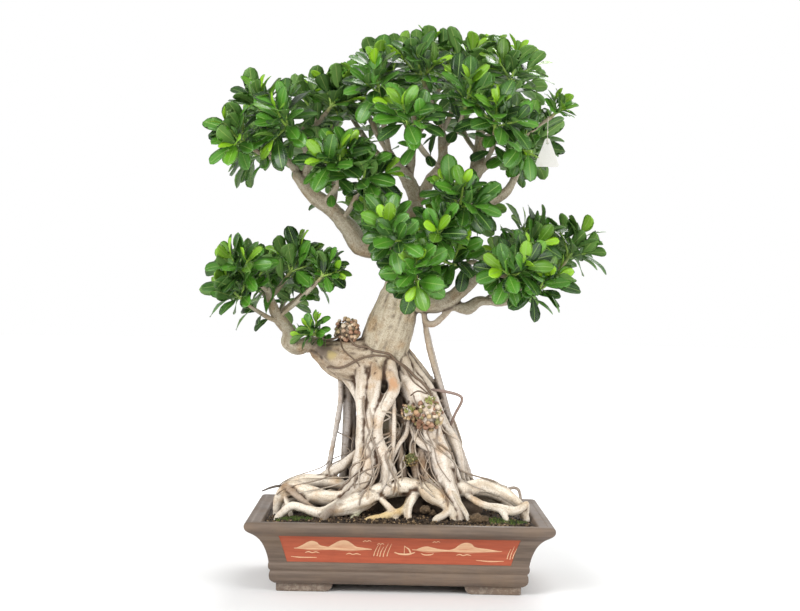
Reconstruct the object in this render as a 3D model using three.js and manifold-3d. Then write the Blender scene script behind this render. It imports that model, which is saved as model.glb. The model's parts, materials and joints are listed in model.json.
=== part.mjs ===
// Ficus bonsai with aerial roots, growing in a long rectangular ceramic pot.
// Millimetres, +Z up. The front faces -Y.
// The origin lies on the resting surface, under the middle of the pot.
import * as THREE from "three";
import { mergeVertices } from "three/addons/utils/BufferGeometryUtils.js";
import Module from "manifold-3d";

const wasm = await Module();
wasm.setup();

// Driving dimensions.
const POT_LENGTH = 560;
const POT_DEPTH = 400;
const POT_HEIGHT = 132;
const FOOT_HEIGHT = 15;
const FOOT_LENGTH = 104;
const FOOT_WIDTH = 24;
const FLOOR_TOP = 27;
const PANEL_LOW = [204, 55.5];
const PANEL_HIGH = [219, 107];
const PANEL_DEPTH = 1.2;
const DRAIN_RADIUS = 16;
const DRAIN_SPACING = 240;
const SCREEN_SIDE = 56;
const SCREEN_THICKNESS = 1.5;
const SOIL_LEVEL = 121;
const SOIL_MOUND = 7;
const LEAF_LENGTH = 60;
const RIB_THICKNESS = 1.8;
const TAG_WIDTH = 45;
const TAG_HEIGHT = 53;
const TAG_THICKNESS = 0.8;
const TAG_EYE = 9;
const TAG_DROP = 45;
const TAG_SIGHT = 90;
const KNOT_DROP = 24;
const THREAD_RADIUS = 0.6;
const CLEARANCE = 0.3;

// The share of a route's points that a limb has rings at.
const LIMB_DETAIL = 0.62;
const UP = new THREE.Vector3(0, 0, 1);
const vec = (x, y, z) => new THREE.Vector3(x, y, z);

// Routes of the wood. Each point is x, y, z and the radius of the limb there.
const TRUNK = {
  trunk: [
    [-11, 12, 207, 38.5], [-32, 14, 293, 34.6], [-49, 8, 356, 38.4], [-48, 2, 407, 49.8],
    [-30, 0, 461, 46.9], [-14, 2, 515, 42.2], [-5, 5, 561, 33.6], [-4, 8, 603, 25.9],
  ],
  cut_lobe: [
    [-43, 0, 424, 46], [-81, -4, 416, 43], [-115, -7, 420, 40.5], [-140, -8, 427, 33], [-160, -9, 436, 22],
    [-171, -9, 442, 10],
  ],
};
const ROOTS = {
  column_left: [
    [-69, -22, 434, 13.3], [-76, -36, 391, 11], [-75, -43, 340, 9.8], [-74, -48, 288, 10.4],
    [-74, -55, 239, 11.3], [-81, -64, 195, 12.2], [-93, -72, 172, 13.1],
  ],
  column_right: [
    [-46, -24, 438, 13.3], [-49, -39, 391, 10.6], [-54, -45, 341, 9.8], [-59, -50, 294, 11.3],
    [-58, -56, 247, 13.2], [-64, -66, 203, 13.1], [-82, -82, 175, 11.2], [-109, -100, 155, 8.5],
    [-134, -114, 138, 6.6], [-143, -120, 116, 5.5],
  ],
  column_diagonal: [
    [-29, -22, 438, 13.3], [-23, -37, 398, 10.2], [-15, -42, 368, 10.2], [-26, -46, 345, 10.9],
    [-44, -49, 315, 11.3], [-45, -55, 274, 11.3], [-33, -60, 237, 12.2], [-23, -66, 208, 12.7],
    [-26, -76, 179, 13.1],
  ],
  log_front_left: [
    [56, -58, 186, 15], [9, -66, 184, 17.8], [-34, -72, 177, 18.7], [-78, -73, 166, 16.8],
    [-121, -70, 160, 16.5], [-167, -64, 167, 15], [-203, -55, 177, 13.5], [-224, -47, 160, 11.3],
    [-232, -44, 137, 8.3], [-231, -42, 103, 6.4],
  ],
  log_hump: [[-90, -40, 177, 11.3], [-132, -34, 187, 15.2], [-180, -30, 184, 18], [-211, -40, 171, 15.1]],
  toe_1: [
    [-32, -76, 171, 17], [-62, -84, 162, 20], [-88, -92, 154, 20], [-118, -100, 146, 15],
    [-145, -106, 138, 10.5], [-173, -108, 145, 8.1], [-198, -104, 150, 7.4], [-214, -102, 140, 6.3],
    [-227, -102, 125, 5.6], [-230, -102, 104, 4.8],
  ],
  toe_2: [[-35, -86, 162, 9.3], [-16, -98, 145, 7.8], [-3, -104, 120, 6.3]],
  toe_3: [
    [15, -80, 162, 9.3], [6, -94, 145, 7.8], [-25, -104, 135, 7.8], [-58, -110, 127, 7],
    [-80, -112, 109, 5.5],
  ],
  toe_4: [[-63, -86, 155, 9.3], [-79, -96, 140, 7.4], [-92, -100, 114, 5.9]],
  toe_5: [
    [-222, -48, 178, 6], [-214, -66, 181, 5.2], [-192, -78, 165, 5.8], [-174, -84, 152, 5.2],
    [-158, -88, 140, 4.8], [-150, -90, 115, 4.2],
  ],
  toe_6: [[-218, -52, 165, 5.6], [-211, -68, 152, 4.9], [-204, -80, 135, 4.5], [-198, -84, 110, 4.1]],
  log_front_right: [
    [0, -62, 176, 16.9], [64, -60, 184, 16.9], [121, -50, 182, 14.3], [153, -45, 188, 13.6],
    [183, -45, 181, 12.5], [208, -50, 167, 11.3], [226, -58, 152, 8.6], [238, -62, 126, 6.4],
  ],
  toe_7: [
    [128, -58, 168, 10.1], [157, -76, 155, 7.1], [187, -82, 150, 8.6], [213, -82, 145, 8.6],
    [230, -76, 152, 7.5], [238, -66, 157, 5.6], [239, -58, 139, 4.9], [236, -56, 112, 4.5],
  ],
  toe_8: [[178, -80, 152, 7.5], [192, -92, 143, 5.9], [201, -98, 123, 4.8]],
  heel_right: [
    [-4, -8, 415, 19.1], [18, -18, 371, 23.8], [43, -25, 326, 25.7], [59, -30, 277, 23.5],
    [74, -40, 237, 21], [85, -58, 203, 19], [96, -74, 172, 16.5], [108, -88, 146, 11.5],
    [116, -98, 118, 6.5],
  ],
  toe_9: [
    [88, -92, 160, 8.5], [92, -101, 148, 7], [80, -108, 138, 6.5], [66, -112, 130, 5.5],
    [61, -113, 112, 4.5],
  ],
  toe_10: [[34, -66, 175, 11.2], [21, -86, 163, 8.6], [15, -98, 146, 7.4], [16, -104, 120, 5.9]],
  toe_11: [
    [75, -58, 186, 7.5], [97, -82, 178, 5.6], [112, -96, 158, 4.8], [125, -104, 137, 4.3],
    [131, -106, 116, 3.7],
  ],
  prop_right_1: [
    [-1, 4, 438, 13.4], [19, 0, 408, 10.3], [45, -5, 378, 9.9], [60, -7, 352, 9.6], [76, -9, 312, 10.7],
    [100, -12, 269, 10.7], [112, -17, 233, 9.5], [116, -26, 202, 8.4], [125, -36, 173, 6.8],
  ],
  prop_right_2: [
    [3, 14, 445, 11.5], [31, 14, 407, 9.2], [63, 14, 364, 8.9], [89, 14, 314, 8.9], [107, 10, 267, 8.1],
    [121, 4, 214, 7.3], [135, -2, 173, 6.9],
  ],
  cable_right_1: [
    [36, -6, 520, 6.5], [53, 5, 437, 5.8], [68, 5, 387, 5.4], [86, 5, 334, 5], [104, 6, 279, 5],
    [122, 8, 237, 4.6], [143, 10, 175, 5],
  ],
  cable_right_2: [
    [38, -4, 512, 5], [65, 14, 412, 4.4], [82, 20, 354, 4.2], [99, 24, 294, 4.1], [114, 26, 242, 4.1],
    [127, 28, 165, 4.6],
  ],
  elbow_twig: [
    [50, -14, 365, 5.7], [79, -18, 362, 4.8], [109, -19, 355, 4.2], [115, -18, 344, 4.2],
    [103, -14, 319, 4.2], [94, -12, 295, 4.6],
  ],
  cable_left_1: [
    [-119, -4, 402, 6.9], [-116, 0, 348, 5.4], [-122, -2, 298, 5.2], [-131, -5, 246, 5],
    [-139, -10, 191, 6.1],
  ],
  cable_left_2: [
    [-105, 6, 398, 9.6], [-103, 13, 343, 8.1], [-104, 16, 291, 8.1], [-107, 18, 237, 7.3],
    [-111, 20, 173, 7.7],
  ],
  cable_left_3: [
    [-90, 14, 394, 11.5], [-95, 22, 339, 9.3], [-96, 26, 290, 8.9], [-97, 30, 242, 8.9],
    [-104, 38, 167, 9.3],
  ],
  sling_left: [
    [-130, -12, 409, 8.4], [-112, -15, 389, 8], [-97, -22, 372, 8.4], [-85, -32, 351, 7.6],
    [-76, -40, 327, 6.8],
  ],
  thread_1: [[-15, -42, 364, 5.7], [-13, -48, 289, 4.3], [-16, -54, 233, 4], [-17, -66, 185, 4.1]],
  thread_2: [[-24, -24, 351, 7.6], [-19, -30, 287, 5.3], [-23, -38, 227, 5.3], [-26, -48, 175, 5.7]],
  thread_3: [
    [15, -30, 311, 6.1], [10, -40, 281, 4.5], [-5, -46, 259, 4.2], [-18, -52, 225, 4.1],
    [-15, -62, 189, 4.3],
  ],
  strap_right: [
    [17, -28, 299, 8.4], [33, -43, 269, 6.8], [59, -50, 253, 6.4], [86, -50, 240, 6],
    [105, -46, 215, 5.7], [115, -46, 185, 5.7],
  ],
  inner_1: [[-5, -20, 287, 9.5], [-1, -34, 240, 8.7], [8, -50, 180, 9.1]],
  inner_2: [[21, -24, 280, 9.5], [24, -38, 240, 7.6], [34, -54, 181, 8.3]],
  inner_3: [[40, -28, 269, 9.5], [43, -44, 229, 7.9], [55, -58, 182, 8.6]],
  stair_left: [[-84, -30, 244, 9.5], [-109, -30, 219, 9.9], [-137, -28, 201, 9.5], [-165, -26, 181, 9.5]],
  wrap_1: [
    [-155, -20, 461, 4.6], [-110, -30, 466, 4.4], [-84, -38, 455, 4.4], [-61, -44, 442, 4.3],
    [-35, -46, 434, 4.3], [-6, -40, 424, 5.3], [19, -26, 400, 6.1], [44, -20, 373, 6.5],
  ],
  wrap_2: [
    [-135, -18, 406, 6.5], [-108, -30, 407, 5.3], [-86, -38, 421, 5.3], [-61, -44, 429, 4.9],
    [-31, -45, 428, 4.9],
  ],
  back_1: [
    [-48, 22, 406, 17.4], [-68, 44, 322, 13.6], [-92, 64, 242, 12.7], [-115, 84, 169, 12.6],
    [-153, 110, 133, 9.9], [-189, 126, 108, 7.6], [-201, 130, 85, 6],
  ],
  back_2: [
    [-29, 26, 410, 17.4], [-33, 56, 322, 13.7], [-41, 76, 238, 14.1], [-50, 96, 169, 14.6],
    [-69, 126, 125, 10], [-85, 136, 91, 7.2],
  ],
  back_3: [
    [-11, 22, 410, 17.4], [8, 50, 331, 14], [29, 70, 250, 14.5], [51, 90, 175, 14.2], [84, 116, 135, 9.6],
    [103, 126, 100, 6.8],
  ],
  back_4: [
    [0, 14, 391, 15.4], [47, 40, 325, 12.8], [87, 56, 254, 12.5], [120, 70, 187, 12.2],
    [164, 96, 143, 9.1], [193, 108, 104, 6.4],
  ],
  log_back: [
    [-135, 40, 158, 15.5], [-93, 70, 163, 15.7], [-42, 86, 166, 16.9], [9, 90, 166, 17.4],
    [72, 80, 165, 16.1], [138, 58, 161, 14.1], [196, 46, 148, 10.1], [228, 44, 118, 7],
  ],
  side_left: [
    [-147, -36, 164, 14.4], [-187, 6, 162, 14.6], [-214, 40, 145, 12], [-227, 58, 119, 8.6],
    [-228, 66, 90, 6.3],
  ],
  side_right: [
    [130, -14, 174, 14.5], [175, 20, 167, 13.1], [207, 40, 149, 10.1], [224, 50, 125, 7],
    [229, 52, 101, 5.8],
  ],
  back_toe_1: [[-30, 92, 158, 11.8], [-14, 128, 133, 9.2], [-5, 142, 100, 6.8]],
  back_toe_2: [[29, 90, 159, 11.1], [42, 126, 131, 8.4], [63, 138, 97, 6.4]],
  back_toe_3: [[-106, 66, 156, 11], [-144, 88, 140, 8.7], [-172, 96, 107, 6.3]],
  boss: [
    [40, -66, 188, 14], [52, -80, 180, 15], [67, -88, 170, 15.5], [84, -95, 157, 10], [96, -101, 144, 6.5],
    [101, -103, 120, 4.5],
  ],
  heart_left: [
    [-58, 12, 420, 26], [-50, 10, 330, 28], [-46, 8, 240, 31], [-48, 10, 170, 32], [-52, 12, 98, 24],
  ],
  heart_right: [
    [-12, 10, 400, 22], [14, 8, 310, 26], [34, 8, 230, 29], [50, 10, 165, 29], [54, 12, 98, 22],
  ],
};
const LIMBS = {
  left_limb: [
    [-4, 8, 595, 23.1], [-39, 2, 625, 21.1], [-85, -4, 636, 20.1], [-108, -10, 670, 17.2],
    [-137, -18, 703, 16.2], [-174, -25, 730, 15.2], [-203, -30, 764, 12.3],
  ],
  left_low_fork: [[-195, -28, 755, 11.4], [-218, -28, 788, 9.1], [-246, -20, 807, 6.9]],
  left_high_fork: [
    [-195, -30, 756, 11.4], [-184, -36, 796, 9.5], [-194, -42, 827, 7.9], [-198, -46, 853, 6],
  ],
  middle_limb: [
    [-4, 8, 595, 23.1], [9, 12, 653, 18.3], [21, 18, 719, 15.4], [5, 18, 765, 13.5], [-17, 14, 792, 11.2],
    [-37, 8, 822, 8.1],
  ],
  middle_back_fork: [[7, 18, 758, 10.8], [10, 26, 805, 9.7], [13, 34, 848, 8.5], [18, 38, 903, 6.6]],
  middle_front_fork: [
    [21, 17, 712, 13.1], [47, 8, 764, 11.5], [67, -2, 792, 10.7], [70, -8, 828, 9.6], [66, -12, 868, 7.3],
  ],
  right_limb: [
    [-4, 8, 599, 23.1], [30, -4, 649, 19.1], [80, -18, 677, 17.1], [110, -24, 719, 15.2],
    [124, -28, 763, 13.3], [142, -28, 789, 11.4], [180, -24, 808, 7.6],
  ],
  right_low_fork: [[108, -24, 713, 11.8], [157, 0, 723, 10], [194, 10, 745, 8.8], [216, 14, 787, 6.2]],
  right_high_fork: [
    [124, -28, 757, 10.6], [141, -20, 811, 8.4], [151, -22, 845, 7.6], [179, -38, 842, 6.4],
    [213, -55, 845, 5.6], [242, -66, 862, 4.5],
  ],
  right_back_fork: [[122, -27, 753, 10.6], [137, 26, 823, 8.5], [146, 62, 896, 6.6]],
  low_right_limb: [
    [-2, 0, 530, 26.8], [47, -14, 527, 18.1], [81, -28, 534, 15.2], [109, -38, 555, 13.2],
    [136, -46, 580, 10.6], [152, -48, 611, 7.2],
  ],
  low_right_arm: [
    [77, -27, 530, 13.3], [119, -30, 521, 11.4], [146, -26, 535, 9.5], [184, -18, 532, 7.2],
    [223, -10, 542, 6.1], [254, -5, 556, 5],
  ],
  front_limb: [[1, -14, 549, 17.2], [13, -62, 578, 9.4], [7, -98, 605, 6.3]],
  back_limb: [[-3, 14, 584, 17.3], [12, 60, 602, 11.7], [32, 108, 623, 9.1], [45, 146, 642, 6.8]],
  low_left_limb: [
    [-131, -6, 444, 17.2], [-177, -8, 447, 14.1], [-201, -10, 439, 13.7], [-217, -11, 450, 13.4],
    [-217, -12, 471, 11.8], [-236, -15, 495, 10.7], [-250, -18, 522, 8.8], [-258, -20, 548, 6.5],
  ],
  hook: [
    [38, -12, 518, 8.6], [44, -22, 493, 5.7], [59, -30, 490, 5.7], [74, -32, 503, 5.7],
    [89, -30, 519, 5.7],
  ],
};
// The last twig of every leafy spray. The wood ends with it, and the spray grows on from its end.
const SPRAYS = {
  left_1: [
    [-242, -20, 804, 6.1], [-264, -30, 815, 5.3], [-269, -40, 838, 4.5], [-271, -46, 857, 4],
  ],
  left_2: [[-240, -20, 804, 5.7], [-258, 8, 806, 5], [-276, 34, 806, 4.1]],
  left_3: [[-226, -25, 794, 5.7], [-258, -62, 798, 4.7], [-288, -86, 811, 3.9]],
  left_4: [[-222, -28, 790, 5.7], [-250, 36, 808, 5.2], [-276, 78, 834, 4.1]],
  left_5: [[-196, -44, 840, 5.3], [-204, -70, 847, 4.5], [-214, -92, 848, 3.9]],
  left_6: [[-194, -43, 833, 5.7], [-172, -40, 861, 5.1], [-154, -35, 884, 4.2]],
  left_7: [[-186, -36, 800, 6.1], [-153, -22, 828, 5.3], [-135, -5, 868, 4.4]],
  left_9: [[-184, -36, 794, 6.1], [-171, 45, 838, 5.4], [-180, 92, 886, 4.3]],
  shelf_1: [[-118, -12, 685, 7.6], [-98, -62, 715, 5.6], [-87, -92, 737, 4.1]],
  shelf_2: [[-156, -22, 716, 7.6], [-130, -72, 742, 5.6], [-126, -104, 764, 4.1]],
  shelf_3: [[-139, -18, 703, 8.4], [-139, 62, 750, 6.6], [-167, 138, 807, 4.6]],
  top_1: [[-35, 8, 816, 6.9], [-58, 0, 855, 5.7], [-78, -10, 896, 4.4]],
  top_2: [[-29, 10, 808, 6.9], [-41, -56, 853, 5.6], [-51, -98, 901, 4.3]],
  top_3: [[-15, 14, 788, 7.3], [-62, 66, 826, 5.9], [-108, 112, 893, 4.6]],
  top_5: [[18, 38, 888, 5.8], [3, 30, 918, 5], [-22, 18, 941, 4.2]],
  top_6: [[16, 36, 875, 5.8], [34, 40, 926, 5], [38, 38, 968, 4.3]],
  top_7: [[13, 34, 844, 6.6], [-13, 96, 909, 5.5], [-30, 128, 968, 4.4]],
  top_8: [[13, 34, 840, 6.6], [43, 112, 896, 5.6], [64, 162, 956, 4.4]],
  top_9: [[66, -12, 860, 6.1], [48, -54, 900, 5.3], [32, -88, 933, 4.1]],
  top_10: [[68, -12, 852, 6.1], [87, -20, 900, 5.3], [104, -24, 942, 4.2]],
  top_11: [[70, -8, 824, 6.5], [92, -82, 850, 5.2], [103, -134, 881, 4]],
  top_12: [[65, -2, 788, 6.9], [32, -98, 810, 5.6], [9, -160, 838, 4]],
  right_1: [[177, -24, 806, 6.1], [195, -60, 808, 5.1], [203, -92, 814, 3.9]],
  right_2: [[175, -24, 806, 6.1], [210, 22, 812, 5.2], [235, 54, 825, 4.1]],
  right_3: [[148, -28, 793, 6.5], [159, -98, 820, 5.2], [159, -146, 842, 4]],
  right_4: [[213, 13, 780, 5.4], [216, -10, 800, 4.6], [218, -34, 815, 4]],
  right_5: [[201, 11, 761, 5.8], [222, 62, 790, 5.1], [227, 112, 828, 4.2]],
  right_6: [[242, -66, 862, 4.3], [268, -73, 881, 3.7]],
  right_7: [[146, -21, 826, 6.1], [172, -42, 885, 5.1], [187, -58, 929, 3.9]],
  right_9: [[146, 58, 880, 5.9], [146, 50, 922, 5.1], [151, 38, 948, 4.1]],
  right_10: [[141, 42, 851, 5.8], [184, 116, 908, 5.2], [208, 148, 948, 4.2]],
  right_11: [[137, 25, 819, 6.6], [113, 106, 874, 5.6], [114, 154, 942, 4.3]],
  low_right_1: [[147, -48, 600, 6], [130, -68, 608, 5.1], [106, -86, 603, 4.1]],
  low_right_2: [[152, -48, 607, 6], [180, -44, 624, 5.1], [206, -40, 633, 4.2]],
  low_right_3: [[140, -46, 584, 6], [166, -98, 584, 5], [186, -128, 582, 3.9]],
  low_right_5: [[252, -5, 554, 4.6], [281, -2, 578, 4.2], [303, 0, 605, 3.8]],
  low_right_6: [[192, -16, 534, 5.3], [231, 44, 560, 4.9], [266, 74, 598, 4.1]],
  low_right_7: [[149, -25, 535, 5.7], [186, 66, 556, 5.3], [204, 108, 584, 4.2]],
  low_right_8: [[226, -9, 543, 5], [236, -54, 547, 4.3], [243, -86, 551, 3.7]],
  front_1: [[7, -96, 602, 5.6], [-4, -132, 623, 4.8], [-16, -158, 634, 3.8]],
  front_2: [[11, -82, 591, 5.6], [36, -112, 613, 4.8], [51, -130, 635, 3.8]],
  front_3: [[13, -60, 576, 6], [22, -108, 570, 4.8], [21, -150, 577, 3.8]],
  front_4: [[82, -18, 679, 7.6], [92, -70, 682, 5.6], [97, -108, 699, 4.1]],
  back_1: [[43, 140, 640, 6], [3, 160, 663, 5.1], [-32, 174, 679, 4.3]],
  back_2: [[43, 140, 640, 6], [82, 158, 664, 5.1], [112, 168, 686, 4.3]],
  low_left_1: [[-258, -20, 544, 5.7], [-272, -42, 558, 4.7], [-288, -54, 567, 4]],
  low_left_2: [[-254, -19, 531, 5.7], [-240, -8, 550, 4.8], [-226, 0, 570, 4]],
  low_left_3: [
    [-227, -14, 484, 5.7], [-256, -26, 496, 4.6], [-276, -34, 508, 4], [-291, -42, 518, 3.6],
  ],
  low_left_4: [
    [-240, -16, 501, 5.7], [-213, 0, 524, 4.8], [-196, 10, 540, 4.2], [-182, 14, 554, 3.8],
  ],
  low_left_5: [
    [-236, -15, 497, 5.3], [-202, -38, 526, 4.5], [-178, -48, 549, 4], [-162, -51, 566, 3.6],
  ],
  low_left_6: [[-250, -18, 518, 5.7], [-268, 32, 538, 4.8], [-281, 58, 556, 4.1]],
  low_left_7: [[-240, -15, 499, 5.7], [-234, 60, 522, 4.9], [-230, 96, 552, 4.2]],
  tuft: [[-138, -14, 457, 5.7], [-150, -28, 461, 4.7], [-159, -39, 463, 4]],
};
// Gall wood: the middle of each lump, its radius and how finely it is knobbed.
const BURLS = [
  [49, -45, 318, 28, 1],
  [16, -40, 323, 16, 0],
  [-106, -10, 474, 23, 0],
  [62, -66, 187, 12, 0],
];

// The flat cut on the lobe's end: a point on it and the direction into the wood.
const CUT_PLACE = vec(-140, -38, 424);
const CUT_INWARD = vec(0.62, 0.62, 0.48).normalize();

// Sprays that are smaller than the others.
const WEAK = { right_6: 0.6, tuft: 0.55, low_left_5: 0.65, low_left_4: 0.8 };
const VIGOUR = Object.keys(SPRAYS).map((name) => WEAK[name] ?? 1);

// Turns a geometry into a solid, and a solid back into a geometry.
function solid(geometry) {
  const bare = new THREE.BufferGeometry();
  bare.setAttribute("position", geometry.getAttribute("position"));
  if (geometry.index) bare.setIndex(geometry.index);
  const merged = mergeVertices(bare, 1e-4);
  const made = new wasm.Manifold(
    new wasm.Mesh({
      numProp: 3,
      vertProperties: new Float32Array(merged.attributes.position.array),
      triVerts: new Uint32Array(merged.index.array),
    }),
  );
  if (made.volume() >= 0) return made;
  const turned = merged.index.array.slice();
  for (let i = 0; i < turned.length; i += 3) [turned[i], turned[i + 1]] = [turned[i + 1], turned[i]];
  merged.setIndex(new THREE.BufferAttribute(new Uint32Array(turned), 1));
  return solid(merged);
}

function geometryOf(body) {
  const { numProp, numVert, vertProperties, triVerts } = body.getMesh();
  const position = new Float32Array(numVert * 3);
  for (let i = 0; i < numVert; i++) {
    position.set(vertProperties.subarray(i * numProp, i * numProp + 3), i * 3);
  }
  const geometry = new THREE.BufferGeometry();
  geometry.setAttribute("position", new THREE.BufferAttribute(position, 3));
  geometry.setIndex(new THREE.BufferAttribute(new Uint32Array(triVerts), 1));
  return geometry;
}

function indexed(points, faces) {
  const geometry = new THREE.BufferGeometry().setFromPoints(points);
  geometry.setIndex(faces.flat());
  return geometry;
}

// A closed skin through rings that all have the same number of points, with a flat fan over each end.
function loft(rings) {
  const count = rings[0].length;
  const faces = [];
  for (let i = 0; i < rings.length - 1; i++) {
    const near = i * count;
    const far = near + count;
    for (let j = 0; j < count; j++) {
      const k = (j + 1) % count;
      faces.push([near + j, near + k, far + k], [near + j, far + k, far + j]);
    }
  }
  const last = (rings.length - 1) * count;
  for (let j = 1; j < count - 1; j++) faces.push([0, j + 1, j], [last, last + j, last + j + 1]);
  return solid(indexed(rings.flat(), faces));
}

// The solid between two grids of points of the same shape.
function slab(front, back) {
  const rows = front.length;
  const columns = front[0].length;
  const at = (side, i, j) => side * rows * columns + i * columns + j;
  const faces = [];
  const quad = (a, b, c, d) => faces.push([a, b, c], [a, c, d]);
  for (let i = 0; i < rows - 1; i++)
    for (let j = 0; j < columns - 1; j++) {
      quad(at(0, i, j), at(0, i, j + 1), at(0, i + 1, j + 1), at(0, i + 1, j));
      quad(at(1, i, j), at(1, i + 1, j), at(1, i + 1, j + 1), at(1, i, j + 1));
    }
  for (let i = 0; i < rows - 1; i++) {
    quad(at(0, i, 0), at(0, i + 1, 0), at(1, i + 1, 0), at(1, i, 0));
    quad(at(0, i + 1, columns - 1), at(0, i, columns - 1), at(1, i, columns - 1), at(1, i + 1, columns - 1));
  }
  for (let j = 0; j < columns - 1; j++) {
    quad(at(0, 0, j + 1), at(0, 0, j), at(1, 0, j), at(1, 0, j + 1));
    quad(at(0, rows - 1, j), at(0, rows - 1, j + 1), at(1, rows - 1, j + 1), at(1, rows - 1, j));
  }
  return solid(indexed([...front.flat(), ...back.flat()], faces));
}

// A tapering limb: a many-sided ring carried along a smooth curve through the route's points.
// grow widens and lengthens it, for the hole that it stands in. start turns its first face.
function limb(route, sides, { grow = 0, detail = LIMB_DETAIL, start } = {}) {
  const spans = route.length - 1;
  const curve = new THREE.CatmullRomCurve3(route.map(([x, y, z]) => vec(x, y, z)), false, "catmullrom", 0.5);
  const steps = Math.max(Math.min(2, spans), Math.round(spans * detail));
  const frames = curve.computeFrenetFrames(steps, false);
  const rings = frames.normals.map((normal, i) => {
    const span = Math.min(Math.floor((i / steps) * spans), spans - 1);
    const share = (i / steps) * spans - span;
    const radius = THREE.MathUtils.lerp(route[span][3], route[span + 1][3], share) + grow;
    const last = i === steps;
    const out = last ? endDirection(route) : (!i && start) || curve.getTangent(i / steps);
    const east = normal.clone().addScaledVector(out, -normal.dot(out)).normalize();
    const centre = curve.getPoint(i / steps).addScaledVector(out, last ? grow : 0);
    return ring(centre, east, vec().crossVectors(out, east), radius, sides);
  });
  return loft(rings);
}

function endDirection(route) {
  const [a, b] = route.slice(-2);
  return vec(b[0] - a[0], b[1] - a[1], b[2] - a[2]).normalize();
}

function ring(centre, east, north, radius, sides) {
  return Array.from({ length: sides }, (_, j) => {
    const angle = (2 * Math.PI * j) / sides;
    return centre
      .clone()
      .addScaledVector(east, radius * Math.cos(angle))
      .addScaledVector(north, radius * Math.sin(angle));
  });
}

function union(bodies) {
  return wasm.Manifold.union(bodies);
}

function largest(body) {
  return body.decompose().reduce((a, b) => (a.volume() > b.volume() ? a : b));
}

// A gall is a round lump that knobs stand out of.
function burl(x, y, z, radius, detail) {
  const geometry = new THREE.IcosahedronGeometry(1, detail);
  const position = geometry.getAttribute("position");
  for (let i = 0; i < position.count; i++) {
    const [a, b, c] = [position.getX(i), position.getY(i), position.getZ(i)];
    const knob = 1 + 0.2 * Math.sin(7.3 * a + 1.1) * Math.sin(6.1 * b + 0.4) + 0.12 * Math.sin(8.7 * c + x);
    position.setXYZ(i, x + radius * knob * a, y + radius * knob * b, z + radius * knob * c);
  }
  return solid(geometry);
}

// Thick limbs get more sides than thin ones.
const sidesFor = (route) => (Math.max(...route.map((p) => p[3])) > 20 ? 8 : route[0][3] > 8.5 ? 4 : 3);

// A root, limb or twig starts thin, well inside the wood that it grows out of.
const rooted = ([[x, y, z, r], ...rest]) => [[x, y, z, 0.6 * r], ...rest];

function wood() {
  const trunk = limb(TRUNK.trunk, sidesFor(TRUNK.trunk), { detail: 1 });
  const lobe = limb(TRUNK.cut_lobe, sidesFor(TRUNK.cut_lobe), { detail: 1 });
  const cutLobe = lobe.trimByPlane(CUT_INWARD.toArray(), CUT_INWARD.dot(CUT_PLACE));
  const limbs = Object.values({ ...ROOTS, ...LIMBS }).map((route) => limb(rooted(route), sidesFor(route)));
  const twigs = Object.values(SPRAYS).map((route) => limb(rooted(route), 3));
  const galls = BURLS.map((gall) => burl(...gall));
  return largest(union([trunk, cutLobe, ...limbs, ...twigs, ...galls]));
}

// The pot is a stack of rectangular rings.
// Each profile point is the inset from the rim's edge and the height.
const POT_OUTSIDE = [
  [53, FOOT_HEIGHT], [48, 18], [43.5, 24], [43.5, 34], [46, 38.5], [42, 43], [41.5, 50.5], [43, 54],
  [38.5, 74], [30, 93], [19.5, 105], [4.5, 114], [0, 120], [0, 128], [5, POT_HEIGHT], [13, POT_HEIGHT],
  [14, 130.6],
];
const POT_INSIDE = [[27, 130.6], [30, 128], [36, 108], [46, 90], [54, 66], [58, FLOOR_TOP]];
const CORNER = 4;

function rectangle(inset, height) {
  const x = POT_LENGTH / 2 - inset;
  const y = POT_DEPTH / 2 - inset;
  return [
    [x, -y + CORNER], [x, y - CORNER], [x - CORNER, y], [-x + CORNER, y],
    [-x, y - CORNER], [-x, -y + CORNER], [-x + CORNER, -y], [x - CORNER, -y],
  ].map(([a, b]) => vec(a, b, height));
}

// How far the outer wall stands in from the pot's length at a height.
function wallInset(height) {
  const next = POT_OUTSIDE.findIndex(([, z]) => z > height);
  const [[insetBelow, below], [insetAbove, above]] = [POT_OUTSIDE[next - 1], POT_OUTSIDE[next]];
  return THREE.MathUtils.mapLinear(height, below, above, insetBelow, insetAbove);
}

// A long wall is pressed in where its panel is painted. The panel is shorter at its foot than at its head.
function panelCutter(side) {
  const [[halfLow, low], [halfHigh, high]] = [PANEL_LOW, PANEL_HIGH];
  const between = POT_OUTSIDE.filter(([, z]) => z > low && z < high);
  const wall = [[wallInset(low), low], ...between, [wallInset(high), high]];
  const grid = (out) =>
    [-1, 1].map((end) =>
      wall.map(([inset, z]) => {
        const half = THREE.MathUtils.mapLinear(z, low, high, halfLow, halfHigh);
        return vec(end * half, side * (POT_DEPTH / 2 - inset + out), z);
      }),
    );
  return slab(grid(-PANEL_DEPTH), grid(8));
}

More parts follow.
